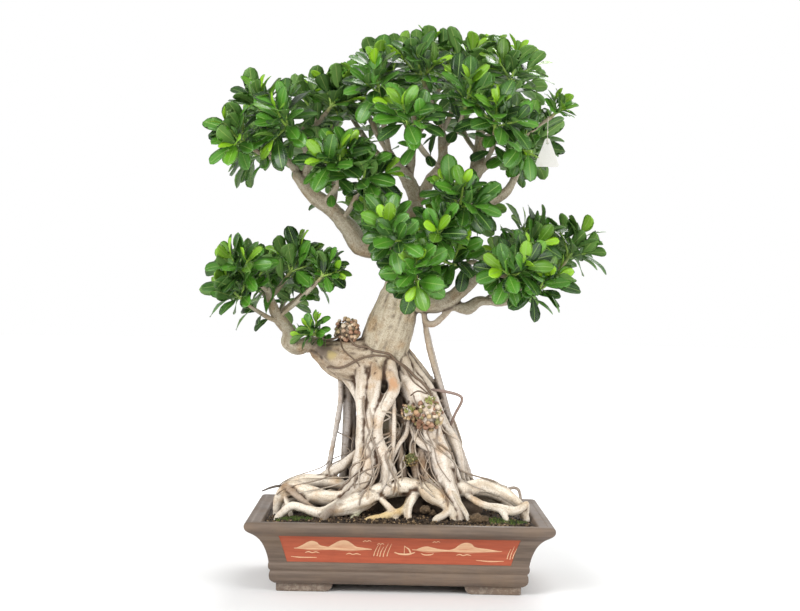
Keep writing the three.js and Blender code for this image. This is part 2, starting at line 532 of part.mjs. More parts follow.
// One corner foot: a low bracket with a curved inner end along the front, and another along the side.
function foot(signX, signY) {
  const bracket = (length, width) => {
    const outline = new THREE.Shape();
    outline.moveTo(0, FOOT_HEIGHT + 1);
    outline.lineTo(3, 0);
    outline.lineTo(length - 22, 0);
    outline.quadraticCurveTo(length - 8, 1, length, FOOT_HEIGHT + 1);
    const options = { depth: width, bevelEnabled: false, curveSegments: 3 };
    const geometry = new THREE.ExtrudeGeometry(outline, options);
    return geometry.rotateX(Math.PI / 2).translate(0, width, 0);
  };
  const along = solid(bracket(FOOT_LENGTH, FOOT_WIDTH));
  const turned = bracket(FOOT_LENGTH * 0.8, FOOT_WIDTH).rotateZ(Math.PI / 2);
  const across = solid(turned.translate(FOOT_WIDTH, 0, 0));
  const corner = vec(POT_LENGTH / 2 - 56, POT_DEPTH / 2 - 56, 0);
  const place = new THREE.Matrix4().makeScale(-signX, -signY, 1);
  place.setPosition(signX * corner.x, signY * corner.y, 0);
  const made = geometryOf(along.add(across)).applyMatrix4(place);
  return solid(made);
}

function pot() {
  const shell = loft([...POT_OUTSIDE, ...POT_INSIDE].map(([inset, z]) => rectangle(inset, z)));
  const feet = [1, -1].flatMap((x) => [1, -1].map((y) => foot(x, y)));
  const drains = [1, -1].map((side) => {
    const hole = new THREE.CylinderGeometry(DRAIN_RADIUS, DRAIN_RADIUS, 2 * FLOOR_TOP, 12);
    return solid(hole.rotateX(Math.PI / 2).translate((side * DRAIN_SPACING) / 2, 0, FLOOR_TOP));
  });
  const cuts = [panelCutter(1), panelCutter(-1), ...drains];
  return cuts.reduce((body, cut) => body.subtract(cut), union([shell, ...feet]));
}

// A square of plastic netting lies over each drain hole, under the soil.
function screen(side) {
  const cells = 2;
  const pitch = SCREEN_SIDE / cells;
  const plate = solid(new THREE.BoxGeometry(SCREEN_SIDE, SCREEN_SIDE, SCREEN_THICKNESS));
  const openings = Array.from({ length: cells * cells }, (_, i) => {
    const box = new THREE.BoxGeometry(pitch - 5, pitch - 5, 2 * SCREEN_THICKNESS);
    return solid(box.translate(((i % cells) - 0.5) * pitch, (Math.floor(i / cells) - 0.5) * pitch, 0));
  });
  const level = FLOOR_TOP + CLEARANCE + SCREEN_THICKNESS / 2;
  return plate.subtract(union(openings)).translate([(side * DRAIN_SPACING) / 2, 0, level]);
}

// The soil's surface is level at the pot's wall and mounded under the tree.
function soilHeight(x, y) {
  const edge = (1 - (x / 250) ** 2) * (1 - (y / 170) ** 2);
  return SOIL_LEVEL + edge * (SOIL_MOUND + 2.5 * Math.sin(x * 0.043 + 0.6) * Math.cos(y * 0.061));
}

function soil() {
  const inside = POT_INSIDE.slice(1).map(([inset, z]) =>
    rectangle(inset + CLEARANCE, Math.max(z, FLOOR_TOP + CLEARANCE)),
  );
  const columns = 9;
  const rows = 6;
  const top = (height) =>
    Array.from({ length: rows + 1 }, (_, i) =>
      Array.from({ length: columns + 1 }, (_, j) => {
        const x = -260 + (520 * j) / columns;
        const y = -180 + (360 * i) / rows;
        return vec(x, y, height(x, y));
      }),
    );
  const within = (value, reach) => THREE.MathUtils.clamp(value, -reach, reach);
  const above = slab(top((x, y) => soilHeight(within(x, 250), within(y, 170))), top(() => 160));
  const recesses = [1, -1].map((side) => {
    const height = 2 * (SCREEN_THICKNESS + 2 * CLEARANCE);
    const box = new THREE.BoxGeometry(SCREEN_SIDE + 1, SCREEN_SIDE + 1, height);
    return solid(box.translate((side * DRAIN_SPACING) / 2, 0, FLOOR_TOP));
  });
  const holes = Object.values(ROOTS)
    .filter((route) => Math.min(...route.map((p) => p[2] - p[3])) < SOIL_LEVEL + 10)
    .map((route) => limb(rooted(route), sidesFor(route), { grow: 0.7 }));
  return largest([above, ...recesses, ...holes].reduce((body, cut) => body.subtract(cut), loft(inside)));
}

// A repeatable draw between 0 and 1 for a spray, a shoot and a use.
function draw(spray, shoot, use) {
  const wave = Math.sin(spray * 12.9898 + shoot * 78.233 + use * 37.719) * 43758.5453;
  return wave - Math.floor(wave);
}

// A spray is a leader, which carries on from the end of a twig, and two side shoots that fork from it.
// Each shoot bends once, halfway.
function shootsOf(route, spray) {
  const end = vec(...route.at(-1).slice(0, 3));
  const out = endDirection(route);
  const east = vec().crossVectors(out, UP).normalize();
  const north = vec().crossVectors(east, out);
  const turn = 2 * Math.PI * draw(spray, 0, 2);
  const shoot = (fork, number) => {
    const round = turn + Math.PI * number + 0.8 * draw(spray, number, 3);
    const heading = out.clone().multiplyScalar(number ? 0.45 : 0.85);
    if (number) {
      heading.addScaledVector(east, 0.85 * Math.cos(round)).addScaledVector(north, 0.85 * Math.sin(round));
    }
    heading.addScaledVector(UP, 0.35).normalize();
    const length = VIGOUR[spray] * ((number ? 34 : 38) + 16 * draw(spray, number, 4));
    const middle = fork.clone().addScaledVector(out, 0.11 * length).addScaledVector(heading, 0.36 * length);
    const tip = fork.clone().addScaledVector(heading, length).addScaledVector(UP, 5 * VIGOUR[spray]);
    return { end, out, fork, middle, tip };
  };
  const leader = shoot(end.clone().addScaledVector(out, VIGOUR[spray] * (10 + 6 * draw(spray, 0, 1))), 0);
  leader.fork = end.clone().lerp(leader.middle, 0.45);
  return [leader, shoot(leader.fork, 1), shoot(leader.fork, 2)];
}

// Leaf k of a shoot counts from the tip. Each turns by the golden angle and leans out further than the last.
// Its upper face turns to the light, which comes from above and from outside the crown.
const LEAVES_PER_SHOOT = 10;
const GOLDEN_ANGLE = 2.39996;

function leafOf({ fork, middle, tip }, spray, number, k) {
  const age = k / (LEAVES_PER_SHOOT - 1);
  const along = 1 - 0.78 * Math.pow(age, 1.25);
  const base = along > 0.5 ? middle.clone().lerp(tip, 2 * along - 1) : fork.clone().lerp(middle, 2 * along);
  const outer = tip.clone().sub(middle).normalize();
  const axis = middle.clone().sub(fork).normalize().lerp(outer, along).normalize();
  const east = vec().crossVectors(axis, UP).normalize();
  const north = vec().crossVectors(east, axis);
  const round = k * GOLDEN_ANGLE + 2 * Math.PI * draw(spray, number, 5);
  const lean = 0.45 + 0.85 * age + 0.3 * (draw(spray, number, 10 + k) - 0.5);
  const heading = axis
    .clone()
    .multiplyScalar(Math.cos(lean))
    .addScaledVector(east, Math.sin(lean) * Math.cos(round))
    .addScaledVector(north, Math.sin(lean) * Math.sin(round));
  const light = vec(base.x / 420, base.y / 160, (base.z - 640) / 420);
  const face = light.addScaledVector(axis, 0.3).addScaledVector(UP, 0.4);
  face.addScaledVector(east, 1.2 * (draw(spray, number, 50 + k) - 0.5));
  face.addScaledVector(heading, -face.dot(heading)).normalize();
  const side = vec().crossVectors(heading, face);
  const young = Math.max(0, 1 - k / 3);
  const grown = 0.9 + 0.25 * draw(spray, number, 30 + k);
  const length = VIGOUR[spray] * LEAF_LENGTH * grown * (1 - 0.35 * young);
  return { base, heading, face, side, length };
}

// The blade widens from its foot on the stem to its shoulders and has a blunt end.
// It is thickest along its rib, where it folds a little, and it droops towards the end.
function blade({ base, heading, face, side, length }, pad = 0) {
  const at = (t, across, lift) =>
    base
      .clone()
      .addScaledVector(heading, t * length + pad * Math.sign(t - 0.3))
      .addScaledVector(side, across * length + pad * Math.sign(across))
      .addScaledVector(face, length * (0.12 * t - 0.24 * t * t) + lift);
  const fold = 0.04 * length;
  const outline = [[0, 0], [0.62, 0.22], [0.97, 0.08], [0.97, -0.08], [0.62, -0.22]];
  const rim = outline.map(([t, across]) => at(t, across, across ? fold : 0));
  const faces = rim.flatMap((_, i) => [[5, i, (i + 1) % 5], [6, (i + 1) % 5, i]]);
  return solid(indexed([...rim, at(0.66, 0, pad), at(0.66, 0, -RIB_THICKNESS - pad)], faces));
}

const touches = (a, b) => {
  const [p, q] = [a.boundingBox(), b.boundingBox()];
  if ([0, 1, 2].some((i) => p.min[i] > q.max[i] || q.min[i] > p.max[i])) return false;
  return !a.intersect(b).isEmpty();
};
const isClear = (body, others) => !others.some((other) => touches(body, other));

// The leader starts a hair beyond the end of its twig.
// A side shoot that would meet another piece is left out.
function stalksOf(route, spray, others) {
  const shoots = shootsOf(route, spray);
  const twigRadius = route.at(-1)[3];
  const stalk = ({ end, out, fork, middle, tip }, number, pad) => {
    const at = (point, radius) => [...point.toArray(), radius + pad];
    const foot = at(end.clone().addScaledVector(out, CLEARANCE + pad), twigRadius);
    const points = [number ? at(fork, 1.2) : foot, at(middle, 2.5), at(tip, 2)];
    return limb(points, 3, number ? {} : { start: out });
  };
  const fits = (number) => number === 0 || isClear(stalk(shoots[number], number, 0.5), others);
  const kept = [0, 1, 2].filter(fits);
  return { shoots, kept, bodies: kept.map((number) => stalk(shoots[number], number, 0)), leaves: [] };
}

// Leaves to try on the leader and on the side shoots.
// The first of each list that is clear of everything is kept.
const PICKS = [[[1, 2], [4, 3, 5]], [[1, 2, 3], [5, 4, 6]], [[2, 1, 3]]];

function sprays(fixed) {
  const grown = [];
  for (const route of Object.values(SPRAYS)) {
    grown.push(stalksOf(route, grown.length, [...fixed, ...grown.flatMap((spray) => spray.bodies)]));
  }
  grown.forEach((spray, index) => {
    const others = grown.flatMap((other) => (other === spray ? [] : [...other.bodies, ...other.leaves]));
    for (const number of spray.kept)
      for (const picks of PICKS[number]) {
        const leaves = picks.map((k) => leafOf(spray.shoots[number], index, number, k));
        const leaf = leaves.find((tried) => isClear(blade(tried, 1), [...fixed, ...others, ...spray.leaves]));
        if (leaf) spray.leaves.push(blade(leaf));
      }
  });
  return grown.map(({ bodies, leaves }) => union([...bodies, ...leaves]));
}

// A blank card of folded paper hangs from a thread ring. It has three straight sides and cut corners.
function tag([x, y, z]) {
  const half = TAG_WIDTH / 2;
  const outline = new THREE.Shape(
    [[-half + 3, 0], [half - 3, 0], [half, 4], [4, TAG_HEIGHT], [-4, TAG_HEIGHT], [-half, 4]].map(
      (p) => new THREE.Vector2(...p),
    ),
  );
  const eye = new THREE.Path().absarc(0, TAG_HEIGHT - TAG_EYE, 1.8, 0, 2 * Math.PI, true);
  outline.holes.push(eye);
  const options = { depth: TAG_THICKNESS, bevelEnabled: false, curveSegments: 6 };
  const card = new THREE.ExtrudeGeometry(outline, options);
  card.translate(0, TAG_EYE - TAG_HEIGHT, -TAG_THICKNESS / 2).rotateX(Math.PI / 2);
  return solid(card.translate(x, y, z - TAG_DROP));
}

// The thread is a closed ring that passes over the sloping twig, is gathered at its knot, and goes through the
// card's eye.
function thread([x, y, z], twigRadius) {
  const top = 1.2 * twigRadius + THREAD_RADIUS + CLEARANCE;
  const strand = [
    [0.7 * top, 0.7 * top], [top, 0], [2.4, -1.8 * top], [0.95, -KNOT_DROP], [1.7, 8 - TAG_DROP],
    [1.5, 2 - TAG_DROP],
  ];
  const back = strand.map(([a, b]) => [-a, b]).reverse();
  const route = [[0, top], ...strand, [0, -1 - TAG_DROP], ...back].map(([a, b]) => vec(x, y + a, z + b));
  const curve = new THREE.CatmullRomCurve3(route, true, "catmullrom", 0.5);
  return solid(new THREE.TubeGeometry(curve, 28, THREAD_RADIUS, 4, true));
}

const paint = (color, roughness) => new THREE.MeshStandardMaterial({ color, roughness, metalness: 0 });
const bark = paint("#b5a184", 0.75);
const clay = paint("#6e5f52", 0.7);
const earth = paint("#3a2c20", 0.95);
const leafGreen = paint("#2c5f1c", 0.35);
const paper = paint("#eef2ee", 0.8);
const cotton = paint("#e6e2d6", 0.9);
const netting = paint("#2b2b2b", 0.5);

const part = new THREE.Group();
function place(name, body, material) {
  const mesh = new THREE.Mesh(geometryOf(body), material);
  mesh.name = name;
  part.add(mesh);
}

const tree = wood();
// The tag hangs near the end of its twig. No leaf hangs in front of it.
const [twigStart, twigEnd] = SPRAYS.right_6;
const [tagX, tagY, tagZ, tagTwig] = twigStart.map((from, i) => THREE.MathUtils.lerp(from, twigEnd[i], 0.82));
const card = tag([tagX, tagY, tagZ]);
const string = thread([tagX, tagY, tagZ], tagTwig);
const openAir = new THREE.BoxGeometry(TAG_WIDTH, TAG_SIGHT, TAG_HEIGHT);
const sight = solid(openAir.translate(tagX, tagY - TAG_SIGHT / 2, tagZ - TAG_DROP - TAG_HEIGHT / 2 + TAG_EYE));
place("wood", tree, bark);
place("pot", pot(), clay);
place("soil", soil(), earth);
place("screen_left", screen(-1), netting);
place("screen_right", screen(1), netting);
place("tag", card, paper);
place("tag_thread", string, cotton);
sprays([tree, card, string, sight]).forEach((body, i) => place(`spray_${Object.keys(SPRAYS)[i]}`, body, leafGreen));

export default part;
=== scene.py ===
# %% [markdown]
# # A ficus bonsai in its long clay pot
#
# The tree leans over a skirt of fused aerial roots and stands in a footed pot of unglazed clay. A finished
# solid model gives every piece its place and size. This lesson gives each one its real surface: bark,
# leaves, soil, moss, clay, paint, paper and thread. Everything is in metres with +Z up, and the front of
# the pot faces -Y.

# %% Load the frame
import json
import math

import bmesh
import bpy
import numpy as np
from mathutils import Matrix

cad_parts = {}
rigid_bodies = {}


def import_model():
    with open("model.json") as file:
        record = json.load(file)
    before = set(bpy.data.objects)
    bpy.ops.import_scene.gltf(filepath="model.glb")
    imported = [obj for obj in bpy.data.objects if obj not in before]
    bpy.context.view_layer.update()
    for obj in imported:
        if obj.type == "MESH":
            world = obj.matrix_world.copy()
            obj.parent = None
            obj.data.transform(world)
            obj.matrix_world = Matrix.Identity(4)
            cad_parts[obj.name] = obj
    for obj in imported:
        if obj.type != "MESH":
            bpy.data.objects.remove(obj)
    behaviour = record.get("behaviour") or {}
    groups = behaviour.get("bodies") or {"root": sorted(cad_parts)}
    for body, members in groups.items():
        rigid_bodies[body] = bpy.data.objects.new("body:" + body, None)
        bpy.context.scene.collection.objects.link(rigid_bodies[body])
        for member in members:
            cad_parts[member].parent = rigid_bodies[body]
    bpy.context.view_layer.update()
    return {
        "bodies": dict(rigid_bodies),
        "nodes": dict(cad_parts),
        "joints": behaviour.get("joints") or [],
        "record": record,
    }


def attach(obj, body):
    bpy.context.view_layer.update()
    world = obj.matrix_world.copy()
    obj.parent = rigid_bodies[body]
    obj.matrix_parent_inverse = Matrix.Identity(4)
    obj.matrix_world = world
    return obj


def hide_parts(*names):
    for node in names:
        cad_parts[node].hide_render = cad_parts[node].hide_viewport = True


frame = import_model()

MM = 0.001

# %% [markdown]
# ## Camera
# The photograph was taken with a long lens from three metres away, a little left of the middle and level
# with the lower crown. Upright lines of the pot lean in the picture, so the camera is rolled by about one
# degree. A small shift puts the tree where the picture has it.

# %% Set the camera
IMAGE_WIDTH = 800
FOCAL_PIXELS = 1571
CAMERA_PLACE = (-0.026, -3.010, 0.5525)
CAMERA_ROLL = 0.0192
FRAME_OFFSET = (10.1, -15.4)


def linked(name, data):
    """A new object of the scene."""
    thing = bpy.data.objects.new(name, data)
    bpy.context.collection.objects.link(thing)
    return thing


lens = bpy.data.cameras.new("camera")
lens.sensor_width = 36
lens.lens = lens.sensor_width * FOCAL_PIXELS / IMAGE_WIDTH
lens.shift_x = FRAME_OFFSET[0] / IMAGE_WIDTH
lens.shift_y = FRAME_OFFSET[1] / IMAGE_WIDTH
camera = linked("camera", lens)
camera.location = CAMERA_PLACE
camera.rotation_euler = (math.pi / 2, -CAMERA_ROLL, 0)
bpy.context.scene.camera = camera
print(f"lens {lens.lens:.1f} mm")

# %% [markdown]
# ## Studio
# The tree stands on a white sweep under large soft lamps. The surround is white where the camera sees it
# but gives less light, or waxy leaves would look milky. Three soft boxes give the shape: a strong one high
# on the left, a weaker one on the right and one behind.

# %% Light the studio
BACKDROP_WHITE = (1.0, 1.0, 1.0, 1)
AMBIENT = 0.62
LAMPS = {
    "key_left": ((-1.9, -2.5, 2.1), (-0.05, 0, 0.55), 1.7, 86),
    "fill_right": ((2.4, -2.0, 1.3), (0.05, 0, 0.5), 1.8, 46),
    "rim_back": ((0.7, 2.2, 2.3), (0, 0, 0.7), 1.6, 50),
}


def aim(thing, place, target):
    """Puts a lamp at a place and turns its -Z axis to the target."""
    place, target = np.array(place), np.array(target)
    x, y, z = (target - place) / np.linalg.norm(target - place)
    thing.location = place
    thing.rotation_euler = (math.acos(-z), 0, math.atan2(y, x) - math.pi / 2)


for name, (place, target, size, power) in LAMPS.items():
    box = bpy.data.lights.new(name, "AREA")
    box.size = size
    box.energy = power
    aim(linked(name, box), place, target)

world = bpy.data.worlds.new("studio")
bpy.context.scene.world = world
world.use_nodes = True
sky = world.node_tree
sky.nodes.clear()
seen, glow, path, both, out = (sky.nodes.new("ShaderNode" + kind) for kind in (
    "Background", "Background", "LightPath", "MixShader", "OutputWorld"))
for light, strength in ((seen, 1.0), (glow, AMBIENT)):
    light.inputs["Color"].default_value = BACKDROP_WHITE
    light.inputs["Strength"].default_value = strength
sky.links.new(path.outputs["Is Camera Ray"], both.inputs[0])
sky.links.new(glow.outputs[0], both.inputs[1])
sky.links.new(seen.outputs[0], both.inputs[2])
sky.links.new(both.outputs[0], out.inputs[0])
bpy.context.scene.view_settings.view_transform = "Standard"
print(len(LAMPS), "soft boxes")

# %% [markdown]
# ## Helpers for meshes
# Every surface here is a grid of points worked out as one array. The class gathers such grids into one
# mesh, with slots, a flat map and the values that the finish reads at the points.

# %% Gather surfaces into a mesh


class Skin:
    """Points, faces and values of one piece. Faces are arrays of three or four point numbers each."""

    def __init__(self):
        self.points, self.faces, self.slots, self.values, self.count = [], [], [], {}, 0

    def add(self, points, faces, slots=None, **values):
        """Adds a surface. faces is a list of arrays, slots the material slot of each."""
        points = np.asarray(points, float).reshape(-1, 3)
        for number, sheet in enumerate(faces):
            self.faces.append(sheet + self.count)
            self.slots.append(np.full(len(sheet), slots[number] if slots else 0))
        for name, value in values.items():
            value = np.asarray(value, float)
            wide = value.shape[1:]
            self.values.setdefault(name, []).append(np.broadcast_to(value, (len(points), *wide)))
        self.points.append(points)
        self.count += len(points)

    def mesh(self, name, smooth=True):
        """Puts the gathered surfaces into a Blender mesh."""
        corners = np.concatenate([sheet.ravel() for sheet in self.faces]).astype(np.int32)
        sizes = np.concatenate([np.full(len(sheet), sheet.shape[1]) for sheet in self.faces])
        starts = np.concatenate([[0], np.cumsum(sizes)[:-1]]).astype(np.int32)
        mesh = bpy.data.meshes.new(name)
        mesh.vertices.add(self.count)
        mesh.vertices.foreach_set("co", np.concatenate(self.points).ravel())
        mesh.loops.add(len(corners))
        mesh.loops.foreach_set("vertex_index", corners)
        mesh.polygons.add(len(sizes))
        mesh.polygons.foreach_set("loop_start", starts)
        mesh.polygons.foreach_set("material_index", np.concatenate(self.slots).astype(np.int32))
        mesh.polygons.foreach_set("use_smooth", np.full(len(sizes), smooth))
        for key, chunks in self.values.items():
            value = np.concatenate(chunks)
            if key == "uv":
                mesh.uv_layers.new(name="UVMap").data.foreach_set("uv", value[corners].ravel())
            elif value.ndim == 1:
                mesh.attributes.new(key, "FLOAT", "POINT").data.foreach_set("value", value)
            else:
                mesh.attributes.new(key, "FLOAT_VECTOR", "POINT").data.foreach_set("vector", value.ravel())
        mesh.update(calc_edges=True)
        mesh.validate()
        return mesh


def grid_faces(rows, columns, joined=False):
    """Four-sided faces of a grid of points, whose last column meets the first if joined."""
    i = np.arange(rows - 1)[:, None]
    j = np.arange(columns if joined else columns - 1)[None]
    k = (j + 1) % columns
    corners = (i * columns + j, i * columns + k, (i + 1) * columns + k, (i + 1) * columns + j)
    return np.stack(np.broadcast_arrays(*corners), -1).reshape(-1, 4)


def repeated(faces, count, size):
    """The faces of many equal bodies, from those of the first and its number of points."""
    return (faces[None] + (np.arange(count) * size)[:, None, None]).reshape(-1, faces.shape[1])


def place_piece(mesh, name, materials, slot, *nodes):
    """Makes the object of a piece, which rides on the part and stands for the CAD nodes named."""
    for material in materials:
        mesh.materials.append(material)
    piece = linked(name, mesh)
    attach(piece, "root")
    if nodes:
        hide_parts(*nodes)
    print(f"{name}: {sum(len(p.vertices) - 2 for p in mesh.polygons)} triangles")
    return piece


def blend(a, b, share):
    """The value that lies at a share of the way from a to b."""
    return a + (b - a) * share


def unit(v):
    """Vectors of length one in the same directions."""
    return v / np.maximum(np.linalg.norm(v, axis=-1, keepdims=True), 1e-12)


# %% [markdown]
# Natural surfaces are uneven in a smooth way. A random field on a lattice gives that: each corner of a cell
# draws its value from its own indices, so a place always gets the same value.

# %% Make a smooth random field


def lattice(points, seed=0):
    """Smooth random values between -1 and 1.

    Formula: the eight corners of a point's unit cell have values hashed from their indices. They are blended
    along each axis with the weight 3 w^2 - 2 w^3, where w is the share of the way across the cell.
    """
    cell = np.floor(points).astype(np.int64)
    share = points - cell
    share = share * share * (3 - 2 * share)
    total = np.zeros(points.shape[:-1])
    for corner in np.ndindex(2, 2, 2):
        key = (cell + corner) @ np.array([374761393, 668265263, 1274126177]) + seed * 144269504
        key = (key ^ (key >> 13)) * 1103515245 % 4294967296
        value = ((key ^ (key >> 15)) % 65536) / 32767.5 - 1
        total += value * np.prod(np.where(corner, share, 1 - share), axis=-1)
    return total


def rough(points, size, octaves=3, seed=0):
    """Sums the field at sizes that halve, each at half the height of the one before."""
    return sum(lattice(points / size * 2**n, seed + n) * 0.5**n for n in range(octaves))


print("field range", np.round(np.ptp(rough(np.random.default_rng(1).random((999, 3)), 0.1)), 2))

# %% [markdown]
# ## Helpers for finishes
# A finish is a small graph of nodes. These functions name the steps that all recipes share: read a value,
# make a noise, blend two colours, raise a bump. Colours are given as on a screen and turned into linear
# light.

# %% Write finishes in a few words


def paint(red, green, blue):
    """Screen colour, 0 to 255, as linear light."""
    level = np.array([red, green, blue]) / 255
    return (*np.where(level <= 0.04045, level / 12.92, ((level + 0.055) / 1.055) ** 2.4).tolist(), 1.0)


def tint(shade):
    """The same as three numbers, for colours kept at the points."""
    return np.array(paint(*shade)[:3])


class Finish:
    """A material with a Principled shader, and short calls that add nodes to it."""

    def __init__(self, name, **sockets):
        self.material = bpy.data.materials.new(name)
        self.material.use_nodes = True
        self.tree = self.material.node_tree
        self.shader = self.tree.nodes["Principled BSDF"]
        self.set(self.shader, {key.replace("_", " "): value for key, value in sockets.items()})

    def set(self, node, inputs):
        """Sets or links a node's inputs by name or number."""
        for key, value in inputs.items():
            socket = node.inputs[key]
            if isinstance(value, bpy.types.NodeSocket):
                self.tree.links.new(value, socket)
            else:
                socket.default_value = value

    def add(self, kind, inputs=None, output=0, **properties):
        """Adds a node and gives back one of its outputs."""
        node = self.tree.nodes.new("ShaderNode" + kind)
        for key, value in properties.items():
            setattr(node, key, value)
        self.set(node, inputs or {})
        return node.outputs[output]

    def object_place(self):
        return self.add("TexCoord", output="Object")

    def value(self, name, output="Fac"):
        return self.add("Attribute", output=output, attribute_name=name)

    def stretch(self, place, scale):
        return self.add("VectorMath", {0: place, 1: scale}, operation="MULTIPLY")

    def noise(self, place, scale, detail=4.0, roughness=0.55):
        inputs = {"Vector": place, "Scale": scale, "Detail": detail, "Roughness": roughness}
        return self.add("TexNoise", inputs)

    def cells(self, place, scale, feature="F1"):
        return self.add("TexVoronoi", {"Vector": place, "Scale": scale}, feature=feature)

    def math(self, operation, a, b=0.0, c=0.0):
        return self.add("Math", {0: a, 1: b, 2: c}, operation=operation)

    def times(self, a, b):
        return self.math("MULTIPLY", a, b)

    def between(self, value, low, high, to_low=0.0, to_high=1.0):
        inputs = {"Value": value, "From Min": low, "From Max": high, "To Min": to_low, "To Max": to_high}
        return self.add("MapRange", inputs, interpolation_type="SMOOTHSTEP")

    def mix(self, share, a, b, blend="MIX"):
        a, b = (paint(*colour) if isinstance(colour, tuple) else colour for colour in (a, b))
        return self.add("Mix", {0: share, 6: a, 7: b}, output=2, data_type="RGBA", blend_type=blend)

    def bump(self, height, distance, strength=1.0, under=None):
        inputs = {"Height": height, "Distance": distance, "Strength": strength}
        if under is not None:
            inputs["Normal"] = under
        return self.add("Bump", inputs)

    def done(self, **sockets):
        """Links the shader's own sockets and gives back the material."""
        self.set(self.shader, {key.replace("_", " "): value for key, value in sockets.items()})
        return self.material


# %% [markdown]
# ## Floor
# A pale sheet catches the soft shadow of the pot. Farther off, where the lamps don't reach it, it glows a
# little and melts into the white.

# %% Lay the floor
FLOOR_REACH = 14.0
FLOOR_RINGS = 8
FLOOR_SIDES = 48
FLOOR_DROP = 0.0002

spread = np.linspace(0.02, 1, FLOOR_RINGS)[:, None] ** 2 * FLOOR_REACH
angle = np.linspace(0, 2 * math.pi, FLOOR_SIDES, endpoint=False)[None]
sheet = np.stack([spread * np.cos(angle), spread * np.sin(angle), 0 * spread * angle - FLOOR_DROP], -1)
ground = Skin()
hub = np.arange(FLOOR_SIDES)
centre = np.stack([hub * 0 + FLOOR_RINGS * FLOOR_SIDES, (hub + 1) % FLOOR_SIDES, hub], -1)[:, ::-1]
ground.add(np.vstack([sheet.reshape(-1, 3), [[0, 0, -FLOOR_DROP]]]),
           [grid_faces(FLOOR_RINGS, FLOOR_SIDES, True)[:, ::-1], centre])
paper_floor = Finish("studio_floor", Roughness=0.9)
tone = paper_floor.noise(paper_floor.object_place(), 3.0, 2.0)
pale = paper_floor.mix(tone, (240, 240, 240), (246, 246, 246))
distance = paper_floor.add("VectorMath", {0: paper_floor.object_place()}, output="Value", operation="LENGTH")
sheet_look = paper_floor.done(Base_Color=pale, Emission_Color=BACKDROP_WHITE,
                              Emission_Strength=paper_floor.between(distance, 0.6, 2.4, 0.0, 0.8))
floor = linked("floor", ground.mesh("floor"))
floor.data.materials.append(sheet_look)
print("floor laid")

# %% [markdown]
# ## Routes of the wood
# A bonsai's wood is one body that grew as many limbs. Each limb is written as the few points it passes
# through, from the thick end to the thin one: x, y, z and the radius there, in millimetres. The solid model
# follows the same points.

